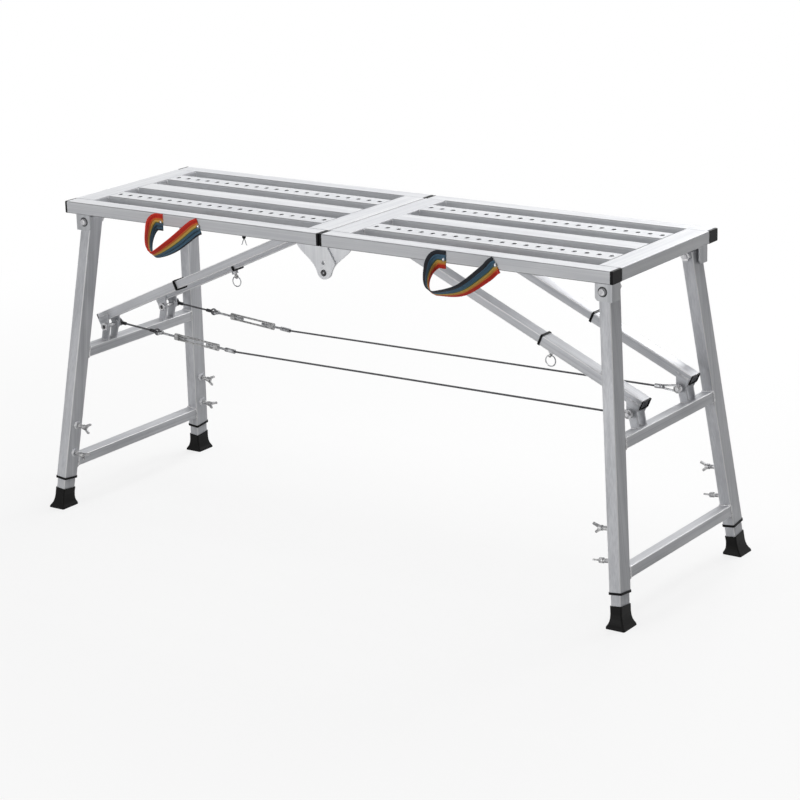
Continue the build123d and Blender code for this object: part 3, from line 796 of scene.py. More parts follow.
    def piece(self, name: str, body: str | None, slot: str, material: bpy.types.Material,
              smooth: bool = True) -> bpy.types.Object:
        """Finish the mesh as an object that rides on a body.

        Args:
            name: Name of the piece.
            body: Body that it rides on, or None for a piece that is left unattached.
            slot: Record slot; not used.
            material: Its material.
            smooth: Whether its faces are shaded smooth.

        Returns:
            The new object.
        """
        bmesh.ops.remove_doubles(self.mesh, verts=self.mesh.verts[:], dist=1e-7)
        bmesh.ops.recalc_face_normals(self.mesh, faces=self.mesh.faces[:])
        sheet = self.mesh.loops.layers.uv.new("UVMap")
        for face in self.mesh.faces:
            face.smooth = smooth
            for loop in face.loops:
                loop[sheet].uv = (loop.vert[self.across], loop.vert[self.run])
        data = bpy.data.meshes.new(name)
        self.mesh.to_mesh(data)
        self.mesh.free()
        data.materials.append(material)
        made = bpy.data.objects.new(name, data)
        bpy.context.scene.collection.objects.link(made)
        if body:
            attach(made, body)
        log.info("%s rides on %s: %d faces", name, body or "two bodies", len(data.polygons))
        return made


@dataclass
class Finishes:
    """Every material of the platform, and which CAD nodes take which."""

    layout: Layout
    made: dict[str, bpy.types.Material] = field(default_factory=dict)

    def build(self) -> None:
        """Make the materials."""
        # The deck tubes get painted shade on their rounded corners; the plates get no painted
        # corner line.
        shaded = {"painted_edge": 0.80, "edge": Tone.SHADED_EDGE}
        flat = {"metallic": 0.25, "painted_edge": 0.0}
        recipes = [
            PlatedSteel("deck_lengthwise", ALONG, Tone.DECK_LIGHT, Tone.DECK_DARK, **shaded),
            PlatedSteel("deck_crosswise", ACROSS, Tone.DECK_LIGHT, Tone.DECK_DARK, **shaded),
            PlatedSteel("crossbar_steel", ACROSS, Tone.LEG_LIGHT, Tone.LEG_DARK),
            PlatedSteel("pressed_plate", UP, Tone.PLATE_LIGHT, Tone.PLATE_DARK, rough=0.36, **flat),
            PlatedSteel("bracket_plate", UP, Tone.BRACKET_LIGHT, Tone.BRACKET_DARK, rough=0.34,
                        **flat),
            ZincFitting("zinc_fitting", Tone.ZINC_LIGHT, Tone.ZINC_DARK),
            ZincFitting("bolt_zinc", Tone.BOLT_LIGHT, Tone.BOLT_DARK, metallic=0.35, rough=0.22),
            ZincFitting("bright_rod", Tone.ROD_LIGHT, Tone.ROD_DARK, metallic=0.9, rough=0.24),
            ZincFitting("wing_zinc", Tone.WING_LIGHT, Tone.WING_DARK, metallic=0.5, rough=0.26),
            ZincFitting("dark_rivet", Tone.WORN_OXIDE, Tone.DARK_OXIDE, metallic=0.6, rough=0.36),
            Moulding("black_plastic", Tone.BLACK_PLASTIC, Tone.GREY_SCUFF,
                     rough=0.38, grain_size=0.0016, shine=0.08),
            Moulding("foot_rubber", Tone.RUBBER, Tone.RUBBER_DUST,
                     rough=0.46, grain_size=0.0011, shine=0.10),
            LaidWire("wire_rope"),
            WeldMetal("deck_weld", Tone.WELD_LIGHT, Tone.WELD_DARK),
            WeldMetal("frame_weld", Tone.BURNT_LIGHT, Tone.BURNT_DARK),
        ]
        outer, inner = (Tone.LEG_LIGHT, Tone.LEG_DARK), (Tone.INNER_LIGHT, Tone.INNER_DARK)
        for half, side in HALVES.items():
            strut = turned(side, self.layout.strut_line)
            leg = turned(side, self.layout.down_frame)
            recipes += [PlatedSteel(f"{half}_strut_steel", strut, *outer, metallic=0.14),
                        PlatedSteel(f"{half}_inner_strut_steel", strut, *inner, metallic=0.14),
                        PlatedSteel(f"{half}_leg_steel", leg, *outer, metallic=0.10),
                        PlatedSteel(f"{half}_extension_steel", leg, *inner, metallic=0.10)]
        for recipe in recipes:
            self.made[recipe.name] = recipe.make()

    def material_for(self, node: str) -> bpy.types.Material:
        """Material of a CAD node, by the first of these words that its name holds.

        Args:
            node: Name of the node.

        Returns:
            Its material.
        """
        half = node.split("_")[0]
        rules = {
            "side_rails": "deck_lengthwise", "cross_rails": "deck_crosswise",
            "slat": "deck_lengthwise", "rail_caps": "black_plastic", "collars": "black_plastic",
            "foot": "foot_rubber", "leg_tubes": f"{half}_leg_steel",
            "leg_extension": f"{half}_extension_steel", "crossbars": "crossbar_steel",
            "strut_outer": f"{half}_strut_steel", "strut_inner": f"{half}_inner_strut_steel",
            "plates": "pressed_plate", "brackets": "bracket_plate",
            "leg_pivot_bolts": "bolt_zinc", "lug_pins": "bolt_zinc", "wing": "wing_zinc",
            "ring": "bright_rod", "eye_bolts": "bright_rod", "loops": "bright_rod",
        }
        for word, finish in rules.items():
            if word in node:
                return self.made[finish]
        return self.made["zinc_fitting"]

    def dress(self) -> None:
        """Give every CAD node its material."""
        for name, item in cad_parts.items():
            item.data.materials.clear()
            item.data.materials.append(self.material_for(name))


@dataclass
class Assembly:
    """Group of pieces that share the platform's places and finishes."""

    layout: Layout
    finishes: dict[str, bpy.types.Material]


@dataclass
class HalfAssembly(Assembly):
    """Group of pieces that both halves have, described on the right half."""

    half: str

    @property
    def side(self) -> int:
        """1 for the right half and -1 for the left one."""
        return HALVES[self.half]

    def keep(self, mould: Mould, name: str, body: str, slot: str, finish: str,
             smooth: bool = True) -> None:
        """Turn a mesh to this half and finish it as a piece.

        Args:
            mould: The mesh.
            name: Name of the piece after the half's.
            body: Name of the body that it rides on after the half's.
            slot: Record slot, passed on to the piece, which does not use it.
            finish: Name of its material.
            smooth: Whether its faces are shaded smooth.
        """
        half_turn = Matrix.Diagonal((self.side, self.side, 1.0, 1.0))
        bmesh.ops.transform(mould.mesh, matrix=half_turn, verts=mould.mesh.verts[:])
        mould.piece(f"{self.half}_{name}", f"{self.half}_{body}", slot, self.finishes[finish],
                    smooth)


@dataclass
class DeckDetail(HalfAssembly):
    """Pressed lips of the grip holes and the welds of the deck's tubes."""

    lip_radius: float = 0.0050
    lip_width: float = 0.0012
    lip_height: float = 0.00035
    weld_gap: float = 0.0006
    weld_foot: float = 0.001
    weld_head: float = 0.0015
    under_gap: float = 0.0004
    under_reach: float = 0.46
    slat_bead: float = 0.0017
    rail_bead: float = 0.0018
    under_bead: float = 0.0016

    def build(self) -> None:
        """Make the pieces."""
        self.lips()
        self.welds()

    def lips(self) -> None:
        """Raised lip round every grip hole."""
        lay = self.layout
        mould = Mould()
        middle = (lay.deck_start + lay.deck_end) / 2
        first = middle - lay.perforation_pitch * (lay.perforation_count - 1) / 2
        radius, width, height = self.lip_radius, self.lip_width, self.lip_height
        profile = ((radius - 0.0002, -0.0010), (radius - 0.0001, height * 0.7),
                   (radius + 0.0003, height), (radius + width * 0.6, height * 0.6),
                   (radius + width, -0.0001))
        for row in ROWS:
            for number in range(lay.perforation_count):
                x = first + number * lay.perforation_pitch
                centre = Vector((x, row * lay.slat_pitch, lay.deck_top))
                mould.turned_ring(Matrix.Translation(centre), profile, steps=16)
        self.keep(mould, "grip_hole_lips", "deck", "deck_steel", "deck_lengthwise")

    def welds(self) -> None:
        """Upright and underside beads where the tubes meet."""
        lay = self.layout
        mould = Mould()
        low, high = lay.deck_under + self.weld_foot, lay.deck_top - self.weld_head
        under = lay.deck_under - self.under_gap
        slats = (-lay.slat_pitch, 0.0, lay.slat_pitch)
        uprights = [(centre + edge * (lay.slat_width / 2 + self.weld_gap), self.slat_bead)
                    for centre in slats for edge in ROWS]
        uprights += [(edge * (lay.rail_inner - self.weld_gap), self.rail_bead) for edge in ROWS]
        for x, gap in ((lay.deck_start + lay.cross_rail, self.weld_gap),
                       (lay.deck_end - lay.cross_rail, -self.weld_gap)):
            for y, radius in uprights:
                mould.bead(Vector((x + gap, y, low)), Vector((x + gap, y, high)), radius)
            for centre in slats:
                ends = [centre + edge * lay.slat_width * self.under_reach for edge in ROWS]
                mould.bead(*(Vector((x + gap * 0.5, y, under)) for y in ends), self.under_bead)
        self.keep(mould, "deck_welds", "deck", "deck_steel", "deck_weld")


@dataclass
class FrameDetail(HalfAssembly):
    """Welds of the leg frames, threads of the wing bolts and the ends of the lug pins."""

    wing_heights: tuple[float, float] = (0.180, 0.120)
    thread_start: float = 0.0072
    bar_bead: float = 0.0019
    bar_bead_sink: float = 0.0006
    bar_bead_spread: float = 0.0012
    bar_bead_deep: float = 0.46
    bar_bead_down: float = 0.47
    lug_edges: tuple[float, ...] = (-0.0157, -0.0117, 0.0117, 0.0157)
    lug_bead: float = 0.0013
    lug_bead_gap: float = 0.0002
    lug_bead_span: tuple[float, float] = (-0.006, 0.0095)
    lock_reach: float = 0.0322
    lock_radius: float = 0.0062
    lock_wire: float = 0.0008
    lock_steps: int = 20
    lock_kept: int = 17
    head_reach: float = 0.0219

    def build(self) -> None:
        """Make the pieces."""
        self.welds()
        self.pin_ends()
        for row in ROWS:
            for word, height in zip(("upper", "lower"), self.wing_heights):
                self.wing_thread(row, word, height)

    def welds(self) -> None:
        """Beads round the crossbar ends and along the lugs."""
        lay = self.layout
        mould = Mould()
        for rise in lay.bar_rises:
            for row in ROWS:
                corners = self.bar_end(rise, row)
                for start, end in zip(corners, corners[1:] + corners[:1]):
                    mould.bead(start, end, self.bar_bead)
        half_bar = lay.bar_height / 2 + self.lug_bead_gap
        top = lay.bar(lay.bar_rises[0]) - lay.down_frame * half_bar
        for row in ROWS:
            for edge in self.lug_edges:
                foot = top + ACROSS * (row * lay.strut_row + edge)
                mould.bead(*(foot + lay.inward * reach for reach in self.lug_bead_span),
                           self.lug_bead)
        self.keep(mould, "frame_welds", "legs", "leg_steel", "frame_weld")

    def bar_end(self, rise: float, row: int) -> list[Vector]:
        """Corners of the bead round a crossbar's end, on the leg's inner face.

        Args:
            rise: Height of the crossbar over the floor.
            row: Which leg.

        Returns:
            Four points in order.
        """
        lay = self.layout
        line = lay.leg_line(row)
        cross = (ACROSS * row - line * line.dot(ACROSS * row)).normalized()
        face = lay.leg_top(row) - cross * (lay.leg_width / 2)
        corners = []
        for deep, down in ((-1, -1), (-1, 1), (1, 1), (1, -1)):
            start = lay.bar(rise) + lay.inward * (deep * lay.leg_depth * self.bar_bead_deep)
            start = start + lay.down_frame * (down * lay.bar_height * self.bar_bead_down)
            reach = (face - start).dot(cross) / ACROSS.dot(cross)
            corners.append(start + ACROSS * reach - cross * self.bar_bead_sink)
        middle = (corners[0] + corners[2]) / 2
        return [corner + (corner - middle).normalized() * self.bar_bead_spread
                for corner in corners]

    def pin_ends(self) -> None:
        """Split ring through each lug pin's tail, and a bright dished head with a dark core."""
        lay = self.layout
        locks, heads, cores = Mould(), Mould(), Mould()
        dished = ((0.0086, -0.0002), (0.0086, 0.0006), (0.0070, 0.0014), (0.0042, 0.0018),
                  (0.0038, -0.0002))
        core = ((-0.0002, 0.0039), (0.0006, 0.0039), (0.0010, 0.0030), (0.0012, 0.0012))
        for row in ROWS:
            pin = lay.lug_pin + ACROSS * (row * lay.strut_row)
            tail = pin - ACROSS * self.lock_reach
            hoop = [tail + Vector((self.side * math.cos(turn), 0.0, math.sin(turn)))
                    * self.lock_radius for turn in angles(self.lock_steps)]
            places = [square_to(point, after - before) for before, point, after in
                      zip(hoop[-1:] + hoop[:-1], hoop, hoop[1:] + hoop[:1])]
            locks.tube(places[:self.lock_kept], [self.lock_wire] * self.lock_kept, sides=8)
            seat = square_to(pin + ACROSS * self.head_reach, ACROSS, ALONG)
            heads.turned_ring(seat, dished)
            cores.lathe(seat, core, sides=16)
        self.keep(locks, "pin_locks", "legs", "zinc_fastener", "zinc_fitting")
        self.keep(heads, "pin_heads", "legs", "zinc_fastener", "bolt_zinc")
        self.keep(cores, "pin_cores", "legs", "zinc_fastener", "dark_rivet")

    def wing_thread(self, row: int, word: str, height: float) -> None:
        """Thread on the stem of one wing bolt.

        Args:
            row: Which leg.
            word: The bolt's place on the leg, upper or lower.
            height: Its height over the floor.
        """
        lay = self.layout
        line = lay.leg_line(row)
        place = lay.leg_top(row) + line * ((lay.leg_pivot.z - height) / -line.z)
        place = place + lay.inward * (lay.leg_depth / 2) + lay.inward * self.thread_start
        mould = Mould()
        mould.thread(square_to(place, lay.inward, ACROSS * self.side),
                     radius=0.004, depth=0.0004, pitch=0.0016, turns=7.5)
        wing = f"{'front' if self.side * row < 0 else 'rear'}_{word}_wing"
        self.keep(mould, f"{wing}_thread", wing, "zinc_fastener", "wing_zinc")


@dataclass
class StrutDetail(HalfAssembly):
    """Black rims on the lower ends of the struts and the welds of their ears."""

    tail: float = 0.011
    rim_wall: float = 0.0017
    rim_depth: float = 0.0025
    rim_corner: float = 0.0024
    ear_bead: float = 0.0013
    ear_bead_gap: float = 0.0004
    ear_bead_lift: float = 0.0006
    ear_bead_span: tuple[float, float] = (-0.010, 0.019)

    def build(self) -> None:
        """Make the pieces."""
        lay = self.layout
        axis = lay.lug_pin + lay.strut_over * lay.strut_offset
        reach = lay.strut_width / 2 + self.ear_bead_gap
        rims, beads = Mould(), Mould()
        for row in ROWS:
            middle = axis + ACROSS * (row * lay.strut_row)
            self.rim(rims, square_to(middle - lay.strut_line * self.tail, -lay.strut_line))
            for edge in ROWS:
                ear = middle + ACROSS * (edge * reach) + lay.strut_over * self.ear_bead_lift
                beads.bead(*(ear + lay.strut_line * run for run in self.ear_bead_span),
                           self.ear_bead)
        self.keep(rims, "strut_end_rims", "strut_outer", "black_plastic", "black_plastic", False)
        self.keep(beads, "strut_welds", "strut_outer", "leg_steel", "frame_weld")

    def rim(self, mould: Mould, seat: Matrix) -> None:
        """Flat frame over a tube's end, open for the tube that slides inside.

        Args:
            mould: Mesh that it is added to.
            seat: Placing matrix at the tube's end, with Z out of it.
        """
        width, depth = self.layout.strut_width, self.layout.strut_depth
        corners = bmesh.ops.create_grid(mould.mesh, x_segments=1, y_segments=1, size=0.5,
                                        matrix=seat @ Matrix.Diagonal((width, depth, 1.0, 1.0)))
        rounded = bmesh.ops.bevel(mould.mesh, geom=corners["verts"], offset=self.rim_corner,
                                  segments=4, profile=0.5, affect="VERTICES", material=-1)["verts"]
        panel = rounded[0].link_faces[0]
        outer = list(panel.verts)
        bmesh.ops.delete(mould.mesh, geom=[panel], context="FACES_ONLY")
        shrink = Matrix.Diagonal((1.0 - 2 * self.rim_wall / width, 1.0 - 2 * self.rim_wall / depth,
                                  1.0, 1.0))
        rise = Matrix.Translation((0.0, 0.0, self.rim_depth))
        loop = outer
        for move in (rise, shrink, rise.inverted()):
            loop = mould.grow(loop)
            bmesh.ops.transform(mould.mesh, matrix=seat @ move @ seat.inverted(), verts=loop)
        bmesh.ops.bridge_loops(mould.mesh, edges=mould.loop_edges(outer) + mould.loop_edges(loop))


@dataclass
class HingeRivets(Assembly):
    """Dark rolled rivets with a bright hollow core, which the deck's halves turn on."""

    plate_gap: float = 0.0088

    def build(self) -> None:
        """Make both heads of the rivets in front and behind."""
        lay = self.layout
        heads, cores = Mould(), Mould()
        rolled = ((0.0024, 0.0002), (0.0024, 0.0014), (0.0032, 0.0022), (0.0047, 0.0024),
                  (0.0060, 0.0016), (0.0066, 0.0002))
        core = ((-0.0020, 0.0026), (0.0003, 0.0026), (0.0009, 0.0022), (0.0011, 0.0010))
        for row in ROWS:
            outer = Vector((0.0, row * lay.hinge_face, lay.deck_under - lay.hinge_drop))
            inner = outer - ACROSS * (row * self.plate_gap)
            for place, way in ((outer, ACROSS * row), (inner, ACROSS * -row)):
                seat = square_to(place, way, ALONG)
                heads.turned_ring(seat, rolled)
                cores.lathe(seat, core, sides=16)
        made = heads.piece("hinge_rivet_heads", "left_deck", "zinc_fastener",
                           self.finishes["dark_rivet"])
        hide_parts("hinge_bolts")
        cores.piece("hinge_rivet_cores", "left_deck", "zinc_fastener", self.finishes["bright_rod"])


@dataclass
class RailFittings(HalfAssembly):
    """Small catch under the rail, and a dark ring under the head of each leg bolt that is painted
    shade.
    """

    catch_place: Vector = spot(0.205, 0.172, 0.635)
    spring_wire: float = 0.0009
    bracket_face: float = 0.1806

    def build(self) -> None:
        """Make the pieces."""
        self.catch()
        self.shade_rings()

    def catch(self) -> None:
        """Knob under the rail with a two-legged wire spring hung from it."""
        knob, spring = Mould(), Mould()
        turning = ((-0.0004, 0.0034), (0.0012, 0.0034), (0.0020, 0.0024), (0.0042, 0.0030),
                   (0.0078, 0.0040), (0.0108, 0.0036), (0.0126, 0.0022), (0.0130, 0.0008))
        knob.lathe(square_to(self.catch_place, -UP), turning, sides=18)
        knots = ((0.0, 0.0098), (0.0010, 0.0132), (0.0034, 0.0186), (0.0050, 0.0236),
                 (0.0066, 0.0250))
        for lean in ROWS:
            points = [self.catch_place + ALONG * (lean * out) - UP * drop for out, drop in knots]
            lines = [after - before for before, after in zip(points, points[1:])]
            spring.tube([square_to(point, line) for point, line in zip(points, lines + lines[-1:])],
                        [self.spring_wire] * len(points), sides=8)
        self.keep(knob, "rail_catch", "deck", "black_plastic", "black_plastic")
        self.keep(spring, "catch_spring", "deck", "zinc_fastener", "bright_rod")

    def shade_rings(self) -> None:
        """Washer under the head of each leg bolt, darkened as painted shade round the head."""
        mould = Mould()
        profile = ((0.0068, -0.0002), (0.0098, -0.0002), (0.0096, 0.0005), (0.0080, 0.0009),
                   (0.0068, 0.0007))
        for row in ROWS:
            place = self.layout.leg_pivot + ACROSS * (row * self.bracket_face)
            mould.turned_ring(square_to(place, ACROSS * row, ALONG), profile)
        # The dark finish of these rings is painted shade round the bolt heads.
        self.keep(mould, "bolt_washers", "deck", "zinc_fastener", "dark_rivet")


@dataclass
class WireTies(Assembly):
    """Wire strops at the left pins and the long wires."""

    wire: float = 0.002
    loop_length: float = 0.050
    strop_length: float = 0.106
    loop_tilt: float = math.radians(20.0)
    fold: float = math.pi / 2
    level_share: float = 0.97
    meet_share: float = 0.35
    eye_radius: float = 0.0062
    eye_wire: float = 0.0015
    eye_gap: float = 0.0012
    ferrule_start: float = 0.008
    ferrule_length: float = 0.012

    def build(self) -> None:
        """Make the wires of both ties."""
        lay = self.layout
        start = lay.left_pin + lay.tie_line * lay.tie_length
        end = lay.lug_pin + (start - lay.lug_pin).normalized() * self.loop_length
        lift = Matrix.Rotation(-self.fold * (1.0 - self.level_share), 3, ACROSS)
        tilt = Matrix.Rotation(self.loop_tilt, 3, ACROSS)
        left_end = self.folded(-1, lay.left_pin) + lift @ (start - lay.left_pin)
        right_end = self.folded(1, lay.lug_pin) + tilt @ (end - lay.lug_pin)
        for word, (left_row, right_row) in lay.tie_rows.items():
            near, far = ACROSS * left_row, ACROSS * right_row
            meet = (start + near).lerp(end + far, self.meet_share)
            folded_meet = (left_end + near).lerp(right_end + far, self.meet_share)
            left = self.rope(f"{word}_wire_left", start + near, meet, "left_tie")
            self.slacken(left, start + near, meet - start - near,
                         lift.inverted() @ (folded_meet - left_end - near))
            right = self.rope(f"{word}_wire_right", end + far, meet, "right_tie")
            self.slacken(right, end + far, meet - end - far,
                         tilt.inverted() @ (folded_meet - right_end - far))
            self.strop(f"{word}_strop", lay.left_pin + near)
        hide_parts("tie_wires")

    def folded(self, side: int, pin: Vector) -> Vector:
        """Place of a lug pin with the legs folded."""
        pivot = turned(side, self.layout.leg_pivot)
        return pivot + Matrix.Rotation(side * self.fold, 3, ACROSS) @ (pin - pivot)

    def rope(self, name: str, start: Vector, end: Vector, body: str) -> bpy.types.Object:
        """Straight length of wire rope.

        Args:
            name: Name of the piece.
            start: Its held end.
            end: Its free end.
            body: Body that it rides on.

        Returns:
            The new object.
        """
        mould = Mould()
        mould.cable(start, end, self.wire, steps=24)
        mould.wind(square_to(start, end - start))
        return mould.piece(name, body, "bright_wire", self.finishes["wire_rope"])

    @staticmethod
    def slacken(piece: bpy.types.Object, anchor: Vector, rest: Vector, folded: Vector) -> None:
        """Give a wire a mesh of its own; how far its free end would be drawn in with the legs
        folded is worked out but not applied.

        Args:
            piece: The wire.
            anchor: Its held end; not used.
            rest: From there to its free end at rest.
            folded: The same with the legs folded, in the body's own directions.
        """
        draw = rest - folded
        axis = draw.normalized()
        1.0 - draw.length / rest.dot(axis)
        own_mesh(piece)

    def strop(self, name: str, pin: Vector) -> None:
        """Short wire with an eye at each end.

        Args:
            name: Name of the piece.
            pin: Middle of its first eye.
        """
        mould = Mould()
        line = self.layout.tie_line
        first = pin + line * self.eye_radius
        last = pin + line * (self.strop_length - self.eye_radius)
        mould.cable(first, last, self.wire, steps=30)
        ring = [(self.eye_radius + self.eye_wire * math.cos(turn), self.eye_wire * math.sin(turn))
                for turn in angles(8)]
        for centre in (pin, pin + line * self.strop_length):
            for lift in (-self.eye_gap, self.eye_gap):
                mould.turned_ring(square_to(centre + ACROSS * lift, ACROSS, ALONG), ring, steps=20)
        mould.wind(square_to(first, line))
        length = self.ferrule_length
        ferrule = ((0.0, 0.0030), (0.001, 0.0036), (length - 0.001, 0.0036), (length, 0.0030))
        for place in (self.ferrule_start, self.strop_length - self.ferrule_start - length):
            mould.lathe(square_to(pin + line * place, line), ferrule, sides=12)
        made = mould.piece(name, None, "bright_wire", self.finishes["wire_rope"])
        tuple(pin + line * 0.008)
        tuple(pin + line * 0.075)
        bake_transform(made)


@dataclass(frozen=True)
class StrapShape:
    """Course of one carrying strap.

    A knot of the course holds millimetres along the rail, out from it and down from the strap's
    level, then how far the top edge leans out and how far that lean swings along the rail, in
    degrees.
    """

    start: float
    knots: tuple[tuple[float, float, float, float, float], ...]
    bands: tuple[tuple[float, Tone], ...]


STRAPS = {
    "left": StrapShape(
        start=-0.402,
        knots=((14, 1.25, 0, 0, 0), (3, 1.25, 0, 0, 0), (-4, 4, 1, 0, 0), (-9, 11, 14, 20, 5),
               (-9.5, 19, 33, 45, 10), (-6, 24, 50, 65, 18), (2, 27, 59, 74, 34),
               (15, 26, 60.5, 54, 24), (52, 16, 38.5, 26, 5), (90, 3.5, 7, 10, 0),
               (100, 1.4, 1, 2, 0), (107, 1.25, -2, 0, 0)),
        bands=((0.0, Tone.NAVY), (0.10, Tone.TEAL), (0.44, Tone.GREEN), (0.49, Tone.YELLOW),
               (0.62, Tone.ORANGE), (0.73, Tone.RED))),
    "right": StrapShape(
        start=0.280,
        knots=((14, 1.25, 0, 0, 0), (3, 1.25, 0, 0, 0), (-6, 4, 1, 0, 0), (-14, 12, 14, 20, 5),
               (-16, 21, 31, 45, 10), (-12, 28, 47, 65, 18), (0, 32, 55, 74, 34),
               (18, 32, 57, 62, 24), (62, 24, 47, 40, 5), (103, 9, 16.5, 16, 0),
               (117, 1.7, 2, 4, 0), (125, 1.25, -3.5, 0, 0)),
        bands=((0.0, Tone.RED), (0.22, Tone.ORANGE), (0.30, Tone.YELLOW), (0.44, Tone.GREEN),
               (0.50, Tone.TEAL), (0.77, Tone.NAVY))),
}


@dataclass
class CarryHandle(Assembly):
    """Striped webbing strap that hangs in a loop from the front rail, riveted at both ends."""

    half: str
    shape: StrapShape
    level: float = 0.642
    width: float = 0.0345
    thickness: float = 0.0023
    steps: int = 6
    rivet_step: int = 3
    soft_edge: float = 0.0006
    crumple_level: float = 0.650
    crumple_keep: float = 0.52

    def course(self) -> list[Vector]:
        """Smooth row of knots from the left end to the right one.

        Returns:
            Knots in the order of the strap, close together.
        """
        knots = [Vector(knot) for knot in self.shape.knots]
        course = []
        for before, start, end, after in zip(knots[:1] + knots, knots, knots[1:],
                                             knots[2:] + knots[-1:]):
            bend = 2 * before - 5 * start + 4 * end - after
            twist = 3 * start - before - 3 * end + after
            for share in (step / self.steps for step in range(self.steps)):
                pull = end - before + (bend * share + twist * share ** 2)
                course.append(start + pull * (share / 2))
        return course + knots[-1:]

    def places(self) -> list[Matrix]:
        """Placing matrices along the strap.

        Returns:
            Matrices with Y across the strap's width and Z along it.
        """
        course = self.course()
        front = -self.layout.rail_front
        points = [Vector((self.shape.start + along / 1000, front - out / 1000,
                          self.level - down / 1000)) for along, out, down, *_ in course]
        made = []
        for before, point, after, knot in zip(points[:1] + points, points,
                                              points[1:] + points[-1:], course):
            line = (after - before).normalized()
            lean, swing = math.radians(knot[3]), math.radians(knot[4])
            out = ALONG * math.sin(swing) - ACROSS * math.cos(swing)
            edge = UP * math.cos(lean) + out * math.sin(lean)
            edge = (edge - line * edge.dot(line)).normalized()
            turn = Matrix((edge.cross(line), edge, line)).transposed().to_4x4()
            made.append(Matrix.Translation(point) @ turn)
        return made

    def build(self) -> None:
        """Make the strap and its rivets."""
        mould = Mould()
        places = self.places()
        lengths = [(after.translation - before.translation).length
                   for before, after in zip(places, places[1:])]
        total = sum(lengths)
        size = Matrix.Diagonal((self.thickness, self.width, 1.0, 1.0))
        loop = bmesh.ops.create_grid(mould.mesh, x_segments=1, y_segments=12, size=0.5,
                                     matrix=places[0] @ size)["verts"]
        self.mark(mould, loop, places[0], 0.0)
        run = 0.0
        for before, place, length in zip(places, places[1:], lengths):
            run += length
            loop = mould.grow([point for point in loop if point.is_boundary])
            bmesh.ops.transform(mould.mesh, matrix=place @ before.inverted(), verts=loop)
            self.mark(mould, loop, place, run / total)
        mould.cover(loop)
        edges = [edge for edge in mould.mesh.edges
                 if all(abs(point[mould.across] - 0.5) > 0.499 for point in edge.verts)]
        bmesh.ops.bevel(mould.mesh, geom=edges, offset=self.soft_edge, segments=2, profile=0.5,
                        affect="EDGES", material=-1)
        webbing = Webbing(f"{self.half}_webbing", self.shape.bands, total, self.width).make()
        strap = mould.piece(f"{self.half}_carry_strap", f"{self.half}_deck",
                            f"{self.half}_webbing", webbing)
        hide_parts(f"{self.half}_handle")
        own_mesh(strap)
        self.rivets(places[self.rivet_step], places[-self.rivet_step])

    def mark(self, mould: Mould, loop: Iterable[bmesh.types.BMVert], place: Matrix,
             run: float) -> None:
        """Write each point's place across and along the strap.

        Args:
            mould: The strap's mesh.
            loop: Points of one cut across it.
            place: Placing matrix of the cut.
            run: Share of the strap's length up to there.
        """
        for point in loop:
            point[mould.across] = (place.inverted() @ point.co).y / self.width + 0.5
            point[mould.run] = run

    def rivets(self, *places: Matrix) -> None:
        """Domed rivet through the strap at each of the given places on it.

        Args:
            places: Placing matrices on the strap.
        """
        mould = Mould()
        dome = ((-0.0004, 0.0038), (0.0005, 0.0038), (0.0012, 0.0033), (0.0018, 0.0020),
                (0.0021, 0.0006))
        for place in places:
            face = place.translation - ACROSS * (self.thickness / 2)
            mould.lathe(square_to(face, -ACROSS, ALONG), dome, sides=18)
        mould.piece(f"{self.half}_strap_rivets", f"{self.half}_deck", "zinc_fastener",
                    self.finishes["bright_rod"])


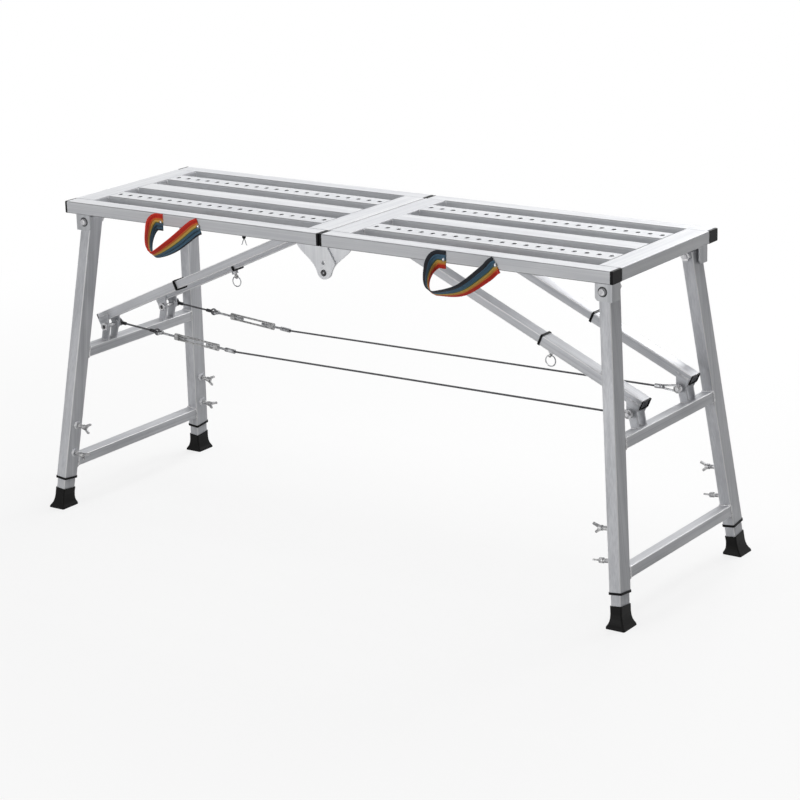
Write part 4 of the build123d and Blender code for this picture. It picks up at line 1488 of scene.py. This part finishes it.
@dataclass
class Studio:
    """Pale floor, soft lamps and the camera."""

    eye: Vector = spot(2.85131, -4.00249, 1.73994)
    right: Vector = spot(0.82270, 0.56780, -0.02772)
    forward: Vector = spot(-0.55081, 0.78412, -0.28596)
    focal_pixels: float = 2530.6
    picture: float = 800.0
    sensor: float = 36.0
    far_clip: float = 60.0
    lamp_aim: Vector = spot(0.0, 0.0, 0.4)
    floor_size: float = 9.0
    floor_drop: float = 0.0005
    floor_glow: float = 0.80
    floor_fade: tuple[float, float] = (0.9, 2.6)
    ambient: float = 0.07

    def build(self) -> None:
        """Set the stage."""
        self.floor()
        self.world()
        self.lamp("overhead", Vector((0.1, 0.3, 3.3)), size=3.0, power=63.0)
        self.lamp("back", Vector((0.2, 3.4, 2.8)), size=2.6, power=96.0)
        self.lamp("key", Vector((-0.8, -4.2, 0.8)), size=1.5, power=49.0)
        self.camera()
        bpy.context.scene.view_settings.view_transform = "Standard"

    def floor(self) -> None:
        """Large pale floor that keeps the object's shadow."""
        mould = bmesh.new()
        bmesh.ops.create_grid(mould, x_segments=2, y_segments=2, size=self.floor_size)
        data = bpy.data.meshes.new("floor")
        mould.to_mesh(data)
        mould.free()
        data.materials.append(self.floor_paint())
        made = self.put("floor", data)
        made.location.z = -self.floor_drop

    def floor_paint(self) -> bpy.types.Material:
        """Pale paint that turns white away from the platform where it is seen.

        Returns:
            The new material.
        """
        recipe = Recipe.named("pale_floor")
        seen = self.seen(recipe)
        colour = recipe.mix(seen, Tone.FLOOR_LIT, Tone.FLOOR_SEEN)
        recipe.close(Base_Color=colour, Roughness=0.9)
        length = recipe.add("ShaderNodeVectorMath", {"operation": "LENGTH"},
                            {0: recipe.place("Object")}).outputs["Value"]
        far = Field(recipe, length).step(*self.floor_fade)
        white = recipe.add("ShaderNodeEmission", {}, {"Color": Tone.WHITE, "Strength": 1.0})
        glow = seen * (self.floor_glow + far * (1.0 - self.floor_glow))
        mixed = recipe.add("ShaderNodeMixShader", {}, {0: glow, 1: recipe.shader.outputs[0],
                                                       2: white.outputs[0]})
        recipe.feed(recipe.tree.nodes["Material Output"].inputs["Surface"], mixed.outputs[0])
        return recipe.owner

    @staticmethod
    def seen(recipe: Recipe) -> Field:
        """1 for rays that show the background, also in a reflection, and 0 for light on pieces.

        Args:
            recipe: Node tree that asks.

        Returns:
            The share.
        """
        path = recipe.add("ShaderNodeLightPath", {}, {})
        camera, glossy, clear = (Field(recipe, path.outputs[f"Is {kind} Ray"])
                                 for kind in ("Camera", "Glossy", "Transmission"))
        return camera.most(glossy).most(clear)

    def world(self) -> None:
        """White surround for the camera and for reflections, softer as light."""
        made = bpy.data.worlds.new("surround")
        bpy.context.scene.world = made
        recipe = Recipe(made)
        strength = self.ambient + self.seen(recipe) * (1.0 - self.ambient)
        recipe.close(Color=Tone.WHITE, Strength=strength)

    def lamp(self, name: str, place: Vector, size: float, power: float) -> None:
        """One square area lamp that faces the platform.

        Args:
            name: Name of the lamp.
            place: Where it hangs.
            size: Length of its sides.
            power: Its power in watts.
        """
        data = bpy.data.lights.new(name, "AREA")
        data.size = size
        data.energy = power
        self.put(name, data).matrix_world = square_to(place, place - self.lamp_aim, ALONG)

    def camera(self) -> None:
        """Camera at the photograph's place, taking the picture to be square."""
        data = bpy.data.cameras.new("camera")
        data.sensor_fit = "HORIZONTAL"
        data.sensor_width = self.sensor
        data.lens = self.focal_pixels / self.picture * data.sensor_width
        data.clip_end = self.far_clip
        made = self.put("camera", data)
        made.matrix_world = square_to(self.eye, -self.forward, self.right)
        bpy.context.scene.camera = made

    @staticmethod
    def put(name: str, data: bpy.types.ID) -> bpy.types.Object:
        """Add an object to the scene.

        Args:
            name: Name of the object.
            data: Its mesh, lamp or camera.

        Returns:
            The new object.
        """
        made = bpy.data.objects.new(name, data)
        bpy.context.scene.collection.objects.link(made)
        return made


def main() -> None:
    """Build the classes in order."""
    logging.basicConfig(level=logging.INFO)
    layout = Layout()
    finishes = Finishes(layout)
    finishes.build()
    finishes.dress()
    for assembly in (DeckDetail, FrameDetail, StrutDetail):
        for half in HALVES:
            assembly(layout, finishes.made, half).build()
    HingeRivets(layout, finishes.made).build()
    for half in HALVES:
        RailFittings(layout, finishes.made, half).build()
    WireTies(layout, finishes.made).build()
    for half, shape in STRAPS.items():
        CarryHandle(layout, finishes.made, half, shape).build()
    Studio().build()


if __name__ == "__main__":
    main()
